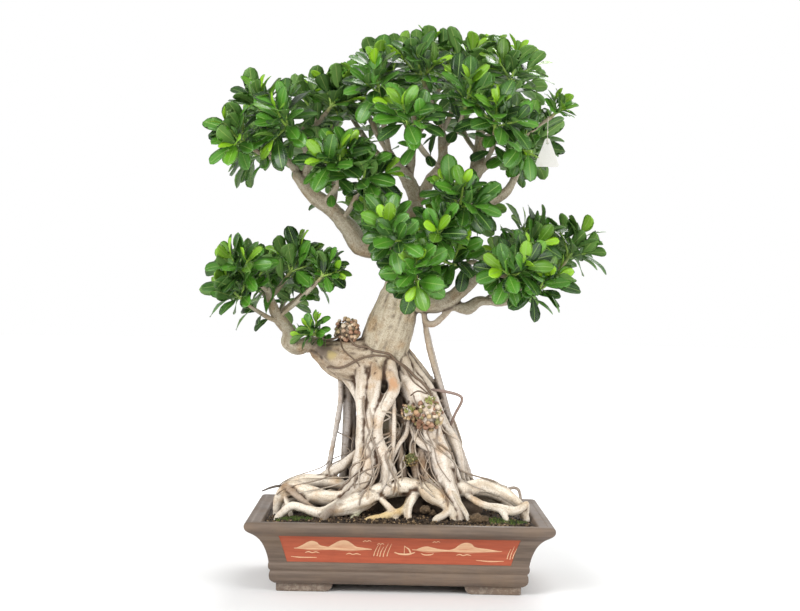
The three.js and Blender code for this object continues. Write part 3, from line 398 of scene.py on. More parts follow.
# %% Points that the wood passes through
TRUNK = {
    "trunk": [[-11, 12, 207, 38.5], [-32, 14, 293, 34.6], [-49, 8, 356, 38.4], [-48, 2, 407, 49.8],
        [-30, 0, 461, 46.9], [-14, 2, 515, 42.2], [-5, 5, 561, 33.6], [-4, 8, 603, 25.9]],
    "cut_lobe": [[-43, 0, 424, 46], [-81, -4, 416, 43], [-115, -7, 420, 40.5], [-140, -8, 427, 33],
        [-160, -9, 436, 22], [-171, -9, 442, 10]],
}
ROOTS = {
    "column_left": [[-69, -22, 434, 13.3], [-76, -36, 391, 11], [-75, -43, 340, 9.8], [-74, -48, 288, 10.4],
        [-74, -55, 239, 11.3], [-81, -64, 195, 12.2], [-93, -72, 172, 13.1]],
    "column_right": [[-46, -24, 438, 13.3], [-49, -39, 391, 10.6], [-54, -45, 341, 9.8],
        [-59, -50, 294, 11.3], [-58, -56, 247, 13.2], [-64, -66, 203, 13.1], [-82, -82, 175, 11.2],
        [-109, -100, 155, 8.5], [-134, -114, 138, 6.6], [-143, -120, 116, 5.5]],
    "column_diagonal": [[-29, -22, 438, 13.3], [-23, -37, 398, 10.2], [-15, -42, 368, 10.2],
        [-26, -46, 345, 10.9], [-44, -49, 315, 11.3], [-45, -55, 274, 11.3], [-33, -60, 237, 12.2],
        [-23, -66, 208, 12.7], [-26, -76, 179, 13.1]],
    "log_front_left": [[56, -58, 186, 15], [9, -66, 184, 17.8], [-34, -72, 177, 18.7],
        [-78, -73, 166, 16.8], [-121, -70, 160, 16.5], [-167, -64, 167, 15], [-203, -55, 177, 13.5],
        [-224, -47, 160, 11.3], [-232, -44, 137, 8.3], [-231, -42, 103, 6.4]],
    "log_hump": [[-90, -40, 177, 11.3], [-132, -34, 187, 15.2], [-180, -30, 184, 18],
        [-211, -40, 171, 15.1]],
    "toe_1": [[-32, -76, 171, 17], [-62, -84, 162, 20], [-88, -92, 154, 20], [-118, -100, 146, 15],
        [-145, -106, 138, 10.5], [-173, -108, 145, 8.1], [-198, -104, 150, 7.4], [-214, -102, 140, 6.3],
        [-227, -102, 125, 5.6], [-230, -102, 104, 4.8]],
    "toe_2": [[-35, -86, 162, 9.3], [-16, -98, 145, 7.8], [-3, -104, 120, 6.3]],
    "toe_3": [[15, -80, 162, 9.3], [6, -94, 145, 7.8], [-25, -104, 135, 7.8], [-58, -110, 127, 7],
        [-80, -112, 109, 5.5]],
    "toe_4": [[-63, -86, 155, 9.3], [-79, -96, 140, 7.4], [-92, -100, 114, 5.9]],
    "toe_5": [[-222, -48, 178, 6], [-214, -66, 181, 5.2], [-192, -78, 165, 5.8], [-174, -84, 152, 5.2],
        [-158, -88, 140, 4.8], [-150, -90, 115, 4.2]],
    "toe_6": [[-218, -52, 165, 5.6], [-211, -68, 152, 4.9], [-204, -80, 135, 4.5], [-198, -84, 110, 4.1]],
    "log_front_right": [[0, -62, 176, 16.9], [64, -60, 184, 16.9], [121, -50, 182, 14.3],
        [153, -45, 188, 13.6], [183, -45, 181, 12.5], [208, -50, 167, 11.3], [226, -58, 152, 8.6],
        [238, -62, 126, 6.4]],
    "toe_7": [[128, -58, 168, 10.1], [157, -76, 155, 7.1], [187, -82, 150, 8.6], [213, -82, 145, 8.6],
        [230, -76, 152, 7.5], [238, -66, 157, 5.6], [239, -58, 139, 4.9], [236, -56, 112, 4.5]],
    "toe_8": [[178, -80, 152, 7.5], [192, -92, 143, 5.9], [201, -98, 123, 4.8]],
    "heel_right": [[-4, -8, 415, 19.1], [18, -18, 371, 23.8], [43, -25, 326, 25.7], [59, -30, 277, 23.5],
        [74, -40, 237, 21], [85, -58, 203, 19], [96, -74, 172, 16.5], [108, -88, 146, 11.5],
        [116, -98, 118, 6.5]],
    "toe_9": [[88, -92, 160, 8.5], [92, -101, 148, 7], [80, -108, 138, 6.5], [66, -112, 130, 5.5],
        [61, -113, 112, 4.5]],
    "toe_10": [[34, -66, 175, 11.2], [21, -86, 163, 8.6], [15, -98, 146, 7.4], [16, -104, 120, 5.9]],
    "toe_11": [[75, -58, 186, 7.5], [97, -82, 178, 5.6], [112, -96, 158, 4.8], [125, -104, 137, 4.3],
        [131, -106, 116, 3.7]],
    "prop_right_1": [[-1, 4, 438, 13.4], [19, 0, 408, 10.3], [45, -5, 378, 9.9], [60, -7, 352, 9.6],
        [76, -9, 312, 10.7], [100, -12, 269, 10.7], [112, -17, 233, 9.5], [116, -26, 202, 8.4],
        [125, -36, 173, 6.8]],
    "prop_right_2": [[3, 14, 445, 11.5], [31, 14, 407, 9.2], [63, 14, 364, 8.9], [89, 14, 314, 8.9],
        [107, 10, 267, 8.1], [121, 4, 214, 7.3], [135, -2, 173, 6.9]],
    "cable_right_1": [[36, -6, 520, 6.5], [53, 5, 437, 5.8], [68, 5, 387, 5.4], [86, 5, 334, 5],
        [104, 6, 279, 5], [122, 8, 237, 4.6], [143, 10, 175, 5]],
    "cable_right_2": [[38, -4, 512, 5], [65, 14, 412, 4.4], [82, 20, 354, 4.2], [99, 24, 294, 4.1],
        [114, 26, 242, 4.1], [127, 28, 165, 4.6]],
    "elbow_twig": [[50, -14, 365, 5.7], [79, -18, 362, 4.8], [109, -19, 355, 4.2], [115, -18, 344, 4.2],
        [103, -14, 319, 4.2], [94, -12, 295, 4.6]],
    "cable_left_1": [[-119, -4, 402, 6.9], [-116, 0, 348, 5.4], [-122, -2, 298, 5.2], [-131, -5, 246, 5],
        [-139, -10, 191, 6.1]],
    "cable_left_2": [[-105, 6, 398, 9.6], [-103, 13, 343, 8.1], [-104, 16, 291, 8.1], [-107, 18, 237, 7.3],
        [-111, 20, 173, 7.7]],
    "cable_left_3": [[-90, 14, 394, 11.5], [-95, 22, 339, 9.3], [-96, 26, 290, 8.9], [-97, 30, 242, 8.9],
        [-104, 38, 167, 9.3]],
    "sling_left": [[-130, -12, 409, 8.4], [-112, -15, 389, 8], [-97, -22, 372, 8.4], [-85, -32, 351, 7.6],
        [-76, -40, 327, 6.8]],
    "thread_1": [[-15, -42, 364, 5.7], [-13, -48, 289, 4.3], [-16, -54, 233, 4], [-17, -66, 185, 4.1]],
    "thread_2": [[-24, -24, 351, 7.6], [-19, -30, 287, 5.3], [-23, -38, 227, 5.3], [-26, -48, 175, 5.7]],
    "thread_3": [[15, -30, 311, 6.1], [10, -40, 281, 4.5], [-5, -46, 259, 4.2], [-18, -52, 225, 4.1],
        [-15, -62, 189, 4.3]],
    "strap_right": [[17, -28, 299, 8.4], [33, -43, 269, 6.8], [59, -50, 253, 6.4], [86, -50, 240, 6],
        [105, -46, 215, 5.7], [115, -46, 185, 5.7]],
    "inner_1": [[-5, -20, 287, 9.5], [-1, -34, 240, 8.7], [8, -50, 180, 9.1]],
    "inner_2": [[21, -24, 280, 9.5], [24, -38, 240, 7.6], [34, -54, 181, 8.3]],
    "inner_3": [[40, -28, 269, 9.5], [43, -44, 229, 7.9], [55, -58, 182, 8.6]],
    "stair_left": [[-84, -30, 244, 9.5], [-109, -30, 219, 9.9], [-137, -28, 201, 9.5],
        [-165, -26, 181, 9.5]],
    "back_1": [[-48, 22, 406, 17.4], [-68, 44, 322, 13.6], [-92, 64, 242, 12.7], [-115, 84, 169, 12.6],
        [-153, 110, 133, 9.9], [-189, 126, 108, 7.6], [-201, 130, 85, 6]],
    "back_2": [[-29, 26, 410, 17.4], [-33, 56, 322, 13.7], [-41, 76, 238, 14.1], [-50, 96, 169, 14.6],
        [-69, 126, 125, 10], [-85, 136, 91, 7.2]],
    "back_3": [[-11, 22, 410, 17.4], [8, 50, 331, 14], [29, 70, 250, 14.5], [51, 90, 175, 14.2],
        [84, 116, 135, 9.6], [103, 126, 100, 6.8]],
    "back_4": [[0, 14, 391, 15.4], [47, 40, 325, 12.8], [87, 56, 254, 12.5], [120, 70, 187, 12.2],
        [164, 96, 143, 9.1], [193, 108, 104, 6.4]],
    "log_back": [[-135, 40, 158, 15.5], [-93, 70, 163, 15.7], [-42, 86, 166, 16.9], [9, 90, 166, 17.4],
        [72, 80, 165, 16.1], [138, 58, 161, 14.1], [196, 46, 148, 10.1], [228, 44, 118, 7]],
    "side_left": [[-147, -36, 164, 14.4], [-187, 6, 162, 14.6], [-214, 40, 145, 12], [-227, 58, 119, 8.6],
        [-228, 66, 90, 6.3]],
    "side_right": [[130, -14, 174, 14.5], [175, 20, 167, 13.1], [207, 40, 149, 10.1], [224, 50, 125, 7],
        [229, 52, 101, 5.8]],
    "back_toe_1": [[-30, 92, 158, 11.8], [-14, 128, 133, 9.2], [-5, 142, 100, 6.8]],
    "back_toe_2": [[29, 90, 159, 11.1], [42, 126, 131, 8.4], [63, 138, 97, 6.4]],
    "back_toe_3": [[-106, 66, 156, 11], [-144, 88, 140, 8.7], [-172, 96, 107, 6.3]],
    "boss": [[40, -66, 188, 14], [52, -80, 180, 15], [67, -88, 170, 15.5], [84, -95, 157, 10],
        [96, -101, 144, 6.5], [101, -103, 120, 4.5]],
    "heart_left": [[-58, 12, 420, 26], [-50, 10, 330, 28], [-46, 8, 240, 31], [-48, 10, 170, 32],
        [-52, 12, 98, 24]],
    "heart_right": [[-12, 10, 400, 22], [14, 8, 310, 26], [34, 8, 230, 29], [50, 10, 165, 29],
        [54, 12, 98, 22]],
}
LIMBS = {
    "left_limb": [[-4, 8, 595, 23.1], [-39, 2, 625, 21.1], [-85, -4, 636, 20.1], [-108, -10, 670, 17.2],
        [-137, -18, 703, 16.2], [-174, -25, 730, 15.2], [-203, -30, 764, 12.3]],
    "left_low_fork": [[-195, -28, 755, 11.4], [-218, -28, 788, 9.1], [-246, -20, 807, 6.9]],
    "left_high_fork": [[-195, -30, 756, 11.4], [-184, -36, 796, 9.5], [-194, -42, 827, 7.9],
        [-198, -46, 853, 6]],
    "middle_limb": [[-4, 8, 595, 23.1], [9, 12, 653, 18.3], [21, 18, 719, 15.4], [5, 18, 765, 13.5],
        [-17, 14, 792, 11.2], [-37, 8, 822, 8.1]],
    "middle_back_fork": [[7, 18, 758, 10.8], [10, 26, 805, 9.7], [13, 34, 848, 8.5], [18, 38, 903, 6.6]],
    "middle_front_fork": [[21, 17, 712, 13.1], [47, 8, 764, 11.5], [67, -2, 792, 10.7], [70, -8, 828, 9.6],
        [66, -12, 868, 7.3]],
    "right_limb": [[-4, 8, 599, 23.1], [30, -4, 649, 19.1], [80, -18, 677, 17.1], [110, -24, 719, 15.2],
        [124, -28, 763, 13.3], [142, -28, 789, 11.4], [180, -24, 808, 7.6]],
    "right_low_fork": [[108, -24, 713, 11.8], [157, 0, 723, 10], [194, 10, 745, 8.8], [216, 14, 787, 6.2]],
    "right_high_fork": [[124, -28, 757, 10.6], [141, -20, 811, 8.4], [151, -22, 845, 7.6],
        [179, -38, 842, 6.4], [213, -55, 845, 5.6], [242, -66, 862, 4.5]],
    "right_back_fork": [[122, -27, 753, 10.6], [137, 26, 823, 8.5], [146, 62, 896, 6.6]],
    "low_right_limb": [[-2, 0, 530, 26.8], [47, -14, 527, 18.1], [81, -28, 534, 15.2],
        [109, -38, 555, 13.2], [136, -46, 580, 10.6], [152, -48, 611, 7.2]],
    "low_right_arm": [[77, -27, 530, 13.3], [119, -30, 521, 11.4], [146, -26, 535, 9.5],
        [184, -18, 532, 7.2], [223, -10, 542, 6.1], [254, -5, 556, 5]],
    "front_limb": [[1, -14, 549, 17.2], [13, -62, 578, 9.4], [7, -98, 605, 6.3]],
    "back_limb": [[-3, 14, 584, 17.3], [12, 60, 602, 11.7], [32, 108, 623, 9.1], [45, 146, 642, 6.8]],
    "low_left_limb": [[-131, -6, 444, 17.2], [-177, -8, 447, 14.1], [-201, -10, 439, 13.7],
        [-217, -11, 450, 13.4], [-217, -12, 471, 11.8], [-236, -15, 495, 10.7], [-250, -18, 522, 8.8],
        [-258, -20, 548, 6.5]],
    "hook": [[38, -12, 518, 8.6], [44, -22, 493, 5.7], [59, -30, 490, 5.7], [74, -32, 503, 5.7],
        [89, -30, 519, 5.7]],
}
SPRAYS = {
    "left_1": [[-242, -20, 804, 6.1], [-264, -30, 815, 5.3], [-269, -40, 838, 4.5], [-271, -46, 857, 4]],
    "left_2": [[-240, -20, 804, 5.7], [-258, 8, 806, 5], [-276, 34, 806, 4.1]],
    "left_3": [[-226, -25, 794, 5.7], [-258, -62, 798, 4.7], [-288, -86, 811, 3.9]],
    "left_4": [[-222, -28, 790, 5.7], [-250, 36, 808, 5.2], [-276, 78, 834, 4.1]],
    "left_5": [[-196, -44, 840, 5.3], [-204, -70, 847, 4.5], [-214, -92, 848, 3.9]],
    "left_6": [[-194, -43, 833, 5.7], [-172, -40, 861, 5.1], [-154, -35, 884, 4.2]],
    "left_7": [[-186, -36, 800, 6.1], [-153, -22, 828, 5.3], [-135, -5, 868, 4.4]],
    "left_9": [[-184, -36, 794, 6.1], [-171, 45, 838, 5.4], [-180, 92, 886, 4.3]],
    "shelf_1": [[-118, -12, 685, 7.6], [-98, -62, 715, 5.6], [-87, -92, 737, 4.1]],
    "shelf_2": [[-156, -22, 716, 7.6], [-130, -72, 742, 5.6], [-126, -104, 764, 4.1]],
    "shelf_3": [[-139, -18, 703, 8.4], [-139, 62, 750, 6.6], [-167, 138, 807, 4.6]],
    "top_1": [[-35, 8, 816, 6.9], [-58, 0, 855, 5.7], [-78, -10, 896, 4.4]],
    "top_2": [[-29, 10, 808, 6.9], [-41, -56, 853, 5.6], [-51, -98, 901, 4.3]],
    "top_3": [[-15, 14, 788, 7.3], [-62, 66, 826, 5.9], [-108, 112, 893, 4.6]],
    "top_5": [[18, 38, 888, 5.8], [3, 30, 918, 5], [-22, 18, 941, 4.2]],
    "top_6": [[16, 36, 875, 5.8], [34, 40, 926, 5], [38, 38, 968, 4.3]],
    "top_7": [[13, 34, 844, 6.6], [-13, 96, 909, 5.5], [-30, 128, 968, 4.4]],
    "top_8": [[13, 34, 840, 6.6], [43, 112, 896, 5.6], [64, 162, 956, 4.4]],
    "top_9": [[66, -12, 860, 6.1], [48, -54, 900, 5.3], [32, -88, 933, 4.1]],
    "top_10": [[68, -12, 852, 6.1], [87, -20, 900, 5.3], [104, -24, 942, 4.2]],
    "top_11": [[70, -8, 824, 6.5], [92, -82, 850, 5.2], [103, -134, 881, 4]],
    "top_12": [[65, -2, 788, 6.9], [32, -98, 810, 5.6], [9, -160, 838, 4]],
    "right_1": [[177, -24, 806, 6.1], [195, -60, 808, 5.1], [203, -92, 814, 3.9]],
    "right_2": [[175, -24, 806, 6.1], [210, 22, 812, 5.2], [235, 54, 825, 4.1]],
    "right_3": [[148, -28, 793, 6.5], [159, -98, 820, 5.2], [159, -146, 842, 4]],
    "right_4": [[213, 13, 780, 5.4], [216, -10, 800, 4.6], [218, -34, 815, 4]],
    "right_5": [[201, 11, 761, 5.8], [222, 62, 790, 5.1], [227, 112, 828, 4.2]],
    "right_6": [[242, -66, 862, 4.3], [268, -73, 881, 3.7]],
    "right_7": [[146, -21, 826, 6.1], [172, -42, 885, 5.1], [187, -58, 929, 3.9]],
    "right_9": [[146, 58, 880, 5.9], [146, 50, 922, 5.1], [151, 38, 948, 4.1]],
    "right_10": [[141, 42, 851, 5.8], [184, 116, 908, 5.2], [208, 148, 948, 4.2]],
    "right_11": [[137, 25, 819, 6.6], [113, 106, 874, 5.6], [114, 154, 942, 4.3]],
    "low_right_1": [[147, -48, 600, 6], [130, -68, 608, 5.1], [106, -86, 603, 4.1]],
    "low_right_2": [[152, -48, 607, 6], [180, -44, 624, 5.1], [206, -40, 633, 4.2]],
    "low_right_3": [[140, -46, 584, 6], [166, -98, 584, 5], [186, -128, 582, 3.9]],
    "low_right_5": [[252, -5, 554, 4.6], [281, -2, 578, 4.2], [303, 0, 605, 3.8]],
    "low_right_6": [[192, -16, 534, 5.3], [231, 44, 560, 4.9], [266, 74, 598, 4.1]],
    "low_right_7": [[149, -25, 535, 5.7], [186, 66, 556, 5.3], [204, 108, 584, 4.2]],
    "low_right_8": [[226, -9, 543, 5], [236, -54, 547, 4.3], [243, -86, 551, 3.7]],
    "front_1": [[7, -96, 602, 5.6], [-4, -132, 623, 4.8], [-16, -158, 634, 3.8]],
    "front_2": [[11, -82, 591, 5.6], [36, -112, 613, 4.8], [51, -130, 635, 3.8]],
    "front_3": [[13, -60, 576, 6], [22, -108, 570, 4.8], [21, -150, 577, 3.8]],
    "front_4": [[82, -18, 679, 7.6], [92, -70, 682, 5.6], [97, -108, 699, 4.1]],
    "back_1": [[43, 140, 640, 6], [3, 160, 663, 5.1], [-32, 174, 679, 4.3]],
    "back_2": [[43, 140, 640, 6], [82, 158, 664, 5.1], [112, 168, 686, 4.3]],
    "low_left_1": [[-258, -20, 544, 5.7], [-272, -42, 558, 4.7], [-288, -54, 567, 4]],
    "low_left_2": [[-254, -19, 531, 5.7], [-240, -8, 550, 4.8], [-226, 0, 570, 4]],
    "low_left_3": [[-227, -14, 484, 5.7], [-256, -26, 496, 4.6], [-276, -34, 508, 4],
        [-291, -42, 518, 3.6]],
    "low_left_4": [[-240, -16, 501, 5.7], [-213, 0, 524, 4.8], [-196, 10, 540, 4.2], [-182, 14, 554, 3.8]],
    "low_left_5": [[-236, -15, 497, 5.3], [-202, -38, 526, 4.5], [-178, -48, 549, 4],
        [-162, -51, 566, 3.6]],
    "low_left_6": [[-250, -18, 518, 5.7], [-268, 32, 538, 4.8], [-281, 58, 556, 4.1]],
    "low_left_7": [[-240, -15, 499, 5.7], [-234, 60, 522, 4.9], [-230, 96, 552, 4.2]],
    "tuft": [[-138, -14, 457, 5.7], [-150, -28, 461, 4.7], [-159, -39, 463, 4]],
}
GALLS = [[49, -45, 318, 28], [16, -40, 323, 16], [-106, -10, 474, 23], [62, -66, 187, 12]]
print(len(ROOTS), "roots,", len(LIMBS), "limbs and", len(SPRAYS), "twigs")

# %% [markdown]
# ## Carry a round section along a limb
# A limb is a circle that travels along a smooth curve through every point and changes its radius on the
# way. It is turned by one fixed direction, in which the route spreads least, so it never spins about the
# curve.

# %% Curve and tube
STEP = 5 * MM


def distances(line):
    """Distance along a line at each of its points."""
    return np.concatenate([[0], np.cumsum(np.linalg.norm(np.diff(line, axis=0), axis=1))])


def curve_through(route, step=STEP):
    """Places, radii and distances along a smooth curve through the route's points.

    Formula: between points b and c, with neighbours a and d and the share w of the way, the place is half of
    2b + (c - a) w + (2a - 5b + 4c - d) w^2 + (3b - a - 3c + d) w^3. Beyond each end it goes on straight.
    """
    p = np.array(route, float) * MM
    reach = np.linalg.norm(np.diff(p[:, :3], axis=0), axis=1).sum()
    t = np.linspace(0, len(p) - 1, max(4, int(reach / step)) + 1)
    span = np.minimum(t.astype(int), len(p) - 2)
    w = (t - span)[:, None]
    p = np.vstack([2 * p[:1] - p[1:2], p, 2 * p[-1:] - p[-2:-1]])
    a, b, c, d = (p[span + k] for k in range(4))
    smooth = 0.5 * (2 * b + (c - a) * w + (2 * a - 5 * b + 4 * c - d) * w**2 + (3 * b - a - 3 * c + d) * w**3)
    straight = b + (c - b) * w
    place = smooth[:, :3]
    return place, straight[:, 3], distances(place)


def frame_along(place):
    """Directions along the curve and two across it, the first close to the route's flattest direction."""
    ahead = unit(np.gradient(place, axis=0))
    flat = np.linalg.svd(place - place.mean(0) + 1e-9, full_matrices=False)[2][-1]
    east = unit(flat - (ahead @ flat)[:, None] * ahead)
    return ahead, east, np.cross(ahead, east)


def tube(place, radius, sides, along=None):
    """A closed round tube with rounded ends: rings of points, the centre, the ring's angle and the distance.

    Formula: centre + radius (cos(angle) east + sin(angle) north). At each end the ring shrinks by cos(a)
    while its centre moves out by radius sin(a).
    """
    ahead, east, north = frame_along(place)
    bend = np.array([0.0, 0.55, 1.1, 1.5])[:, None]
    first = place[0] - ahead[0] * radius[0] * np.sin(bend[:0:-1])
    last = place[-1] + ahead[-1] * radius[-1] * np.sin(bend[1:])
    centre = np.vstack([first, place, last])
    size = np.concatenate([radius[0] * np.cos(bend[:0:-1, 0]), radius, radius[-1] * np.cos(bend[1:, 0])])
    index = np.clip(np.arange(len(centre)) - 3, 0, len(place) - 1)
    angle = np.linspace(0, 2 * math.pi, sides, endpoint=False)[None, :, None]
    across = np.cos(angle) * east[index][:, None] + np.sin(angle) * north[index][:, None]
    points = centre[:, None] + size[:, None, None] * across
    rows = len(centre)
    hub = np.arange(sides)
    start = np.stack([(hub + 1) % sides, hub, hub * 0 + rows * sides], -1)
    end = np.stack([hub, (hub + 1) % sides, hub * 0 - sides], -1) + (rows - 1) * sides
    end[:, 2] = rows * sides + 1
    points = np.vstack([points.reshape(-1, 3), centre[:1], centre[-1:]])
    faces = [grid_faces(rows, sides, True), start, end]
    if along is None:
        return points, faces
    distance = np.concatenate([np.repeat(along[index], sides), along[[0, -1]]])
    turn = np.concatenate([np.tile(angle.ravel(), rows), [0, 0]])
    girth = np.concatenate([np.repeat(np.maximum(size, 0.3 * MM), sides), size[[0, -1]]])
    return points, faces, distance, turn, girth


def rooted(route):
    """The same route, thinner at its start, which lies inside the wood that it grows out of."""
    x, y, z, radius = route[0]
    return [[x, y, z, 0.6 * radius], *route[1:]]


# The columns are fuller than in the solid model and webs join their heads to the trunk, as on the tree. A
# mound of old wood closes the view through the skirt, and its dark brown is painted shade.
GIRTH = {
    "column_left": 1.16, "column_right": 1.25, "column_diagonal": 1.2, "elbow_twig": 0.64, "thread_2": 0.8,
}
FILLERS = {
    "web_left": [[-74, -8, 446, 9], [-76, -32, 412, 14], [-76, -38, 372, 10.5]],
    "web_middle": [[-50, -10, 452, 9], [-52, -34, 414, 14], [-53, -40, 380, 10.5]],
    "web_between": [[-64, -14, 430, 11], [-64, -33, 392, 11], [-65, -39, 352, 8], [-67, -43, 306, 6.5]],
    "web_right": [[-28, -8, 450, 9], [-25, -32, 418, 13], [-19, -38, 392, 11]],
    "web_far": [[-4, -4, 444, 8], [6, -19, 410, 12], [16, -24, 378, 10]],
    "mound": [[-12, 14, 232, 30], [-6, 14, 190, 42], [0, 16, 150, 58], [0, 16, 128, 60]],
    "mound_left": [[-40, 10, 170, 34], [-90, 14, 150, 32], [-140, 10, 138, 22]],
    "mound_right": [[40, 8, 168, 34], [90, 6, 148, 30], [140, 2, 136, 22]],
}

ROUTES = {**{name: rooted(route) for name, route in {**ROOTS, **LIMBS}.items()}, **FILLERS}
WOOD = {name: [[*point[:3], point[3] * GIRTH.get(name, 1)] for point in route]
        for name, route in {**TRUNK, **ROUTES}.items()}
print(round(sum(curve_through(route)[2][-1] for route in WOOD.values()), 1), "m of roots and limbs")

# %% [markdown]
# ## Grow the thick wood together
# Where two roots press on each other they fuse, with no seam. So the thick tubes are turned into one skin
# of small even faces, which follows the outside of them all. Smoothing then rounds each join as a fillet
# does. The crown's limbs make a second skin, whose foot lies inside the top of the trunk.

# %% Fuse the tubes
THIN = 5.6
TUBE_SIDES = 18
LOW_VOXEL, HIGH_VOXEL = 3.15 * MM, 2.6 * MM
LOW_LIMBS = ("low_left_limb", "low_right_limb", "low_right_arm", "hook")
CUT_PLACE = np.array([-140, -38, 424]) * MM
CUT_INWARD = unit(np.array([0.62, 0.62, 0.48]))

thick = {name: route for name, route in WOOD.items() if max(point[3] for point in route) > THIN}
thin = {name: route for name, route in WOOD.items() if name not in thick}
crown_wood = {name: route for name, route in thick.items() if name in LIMBS and name not in LOW_LIMBS}
foot_wood = {name: route for name, route in thick.items() if name not in crown_wood}
crown_wood["trunk_top"] = [[-14, 2, 515, 30], [-5, 5, 561, 33.2], [-4, 8, 603, 25.9]]
foot_wood["trunk"] = [*TRUNK["trunk"][:-1], [-4, 8, 603, 21]]


def ball(rows, columns):
    """Directions over a ball, from pole to pole, and the faces between them."""
    up = np.linspace(0, math.pi, rows)[1:-1, None]
    turn = np.linspace(0, 2 * math.pi, columns, endpoint=False)[None]
    way = np.stack([np.sin(up) * np.cos(turn), np.sin(up) * np.sin(turn), np.cos(up) + 0 * turn], -1)
    hub = np.arange(columns)
    top = np.stack([(hub + 1) % columns, hub, hub * 0 + (rows - 2) * columns], -1)[:, ::-1]
    bottom = np.stack([hub, (hub + 1) % columns, hub * 0], -1) + (rows - 3) * columns
    bottom[:, 2] = (rows - 2) * columns + 1
    sides = grid_faces(rows - 2, columns, True)[:, ::-1]
    return np.vstack([way.reshape(-1, 3), [[0, 0, 1], [0, 0, -1]]]), [sides, top, bottom[:, ::-1]]


def through_modifier(mesh, kind, **settings):
    """A copy of a mesh with one modifier applied."""
    lump = linked("work", mesh)
    change = lump.modifiers.new("change", kind)
    for key, value in settings.items():
        setattr(change, key, value)
    bpy.context.view_layer.update()
    made = bpy.data.meshes.new_from_object(lump.evaluated_get(bpy.context.evaluated_depsgraph_get()))
    bpy.data.objects.remove(lump)
    return made


def read(items, field, width, kind=np.int32):
    """One field of a mesh's points, edges or corners as an array."""
    values = np.empty(len(items) * width, kind)
    items.foreach_get(field, values)
    return values.reshape(-1, width)


def fused(rough_mesh, voxel):
    """Points, edges and four-sided faces of one even skin round everything in a mesh."""
    mesh = through_modifier(rough_mesh, "REMESH", mode="VOXEL", voxel_size=voxel)
    points = read(mesh.vertices, "co", 3, np.float32).astype(float)
    return points, read(mesh.edges, "vertices", 2), read(mesh.loops, "vertex_index", 1).reshape(-1, 4)


def sawn(points):
    """The lobe was sawn off flat long ago: points beyond the cut are moved onto its plane."""
    beyond = np.minimum((points - CUT_PLACE) @ CUT_INWARD, 0)
    return points - beyond[:, None] * CUT_INWARD


rough_foot, rough_crown = Skin(), Skin()
for rough_wood, routes in ((rough_foot, foot_wood), (rough_crown, crown_wood)):
    for name, route in routes.items():
        points, tube_faces = tube(*curve_through(route)[:2], TUBE_SIDES)
        rough_wood.add(sawn(points) if name == "cut_lobe" else points, tube_faces)
round_points, round_faces = ball(14, 20)
for *spot, radius in GALLS:
    lumpy = 1 + 0.18 * rough(round_points, 0.7, 2, int(radius))
    rough_foot.add((np.array(spot) + 0.84 * radius * lumpy[:, None] * round_points) * MM, round_faces)

foot_skin, foot_edges, foot_faces = fused(rough_foot.mesh("rough_foot"), LOW_VOXEL)
crown_skin, crown_edges, crown_faces = fused(rough_crown.mesh("rough_crown"), HIGH_VOXEL)
print(len(foot_skin), "and", len(crown_skin), "points after fusing")

# %% [markdown]
# ## Bark relief
# Bark of this kind is thin and drawn tight over the wood, with long shallow flutes and fine wrinkles across
# them. To lay these along each limb, every point learns how far along the nearest limb it lies. The flutes
# are a random field stretched along that distance.

# %% Smooth the skin and lay the relief
SMOOTH_ROUNDS = 5
EYES = {
    "knot_on_log": (55, -76, 184, 9), "knot_on_toe": (208, -88, 142, 7), "scar_on_heel": (58, -48, 262, 8),
}


def neighbour_mean(values, edges, count):
    """Average of each point's neighbours."""
    both = np.concatenate([edges[:, 0], edges[:, 1]])
    other = np.concatenate([edges[:, 1], edges[:, 0]])
    share = np.bincount(both, minlength=count)
    sums = [np.bincount(both, column[other], count) for column in values.reshape(count, -1).T]
    return np.stack(sums, -1) / np.maximum(share, 1)[:, None]


def relax(points, edges, rounds, keep=0.53):
    """Smooths without shrinking: each point moves half way to its neighbours' average, then a bit back."""
    for _ in range(rounds):
        points = points + 0.5 * (neighbour_mean(points, edges, len(points)) - points)
        points = points - keep * (neighbour_mean(points, edges, len(points)) - points)
    return points


def normals(points, faces):
    """Outward directions at the points, from the faces round each."""
    a, b, c, d = (points[faces[:, k]] for k in range(4))
    face = np.cross(c - a, d - b)
    total = [np.bincount(faces.ravel(), np.repeat(column, 4), len(points)) for column in face.T]
    return unit(np.stack(total, -1))


def along_limbs(points, routes):
    """For each point: distance along the nearest limb, place across it, its radius and its number.

    Formula: the nearest limb is the one where the distance to its middle line, less its radius, is smallest.
    """
    lines = [curve_through(route) for route in routes.values()]
    frames = [frame_along(place) for place, _, _ in lines]
    place = np.vstack([line[0] for line in lines])
    radius = np.concatenate([line[1] for line in lines])
    along = np.concatenate([line[2] for line in lines])
    owner = np.repeat(np.arange(len(lines)), [len(line[0]) for line in lines])
    ahead, east, north = (np.vstack([frame[k] for frame in frames]) for k in range(3))
    nearest = np.empty(len(points), int)
    for start in range(0, len(points), 4000):
        some = points[start:start + 4000]
        apart = (some**2).sum(1)[:, None] + (place**2).sum(1)[None] - 2 * some @ place.T
        nearest[start:start + 4000] = np.argmin(np.sqrt(np.maximum(apart, 0)) - radius, 1)
    away = points - place[nearest]
    across = np.stack([(away * east[nearest]).sum(1), (away * north[nearest]).sum(1)], -1)
    travelled = along[nearest] + (away * ahead[nearest]).sum(1)
    return travelled, across, radius[nearest], owner[nearest]


def eye_marks(points):
    """Rings round the scars of lost branches: a ripple that fades away from each scar's middle."""
    total = 0
    for *spot, size in EYES.values():
        apart = np.linalg.norm(points - np.array(spot) * MM, axis=1) / MM
        total = total + np.cos(1.5 * apart) * np.exp(-(apart / size)**2)
    return total


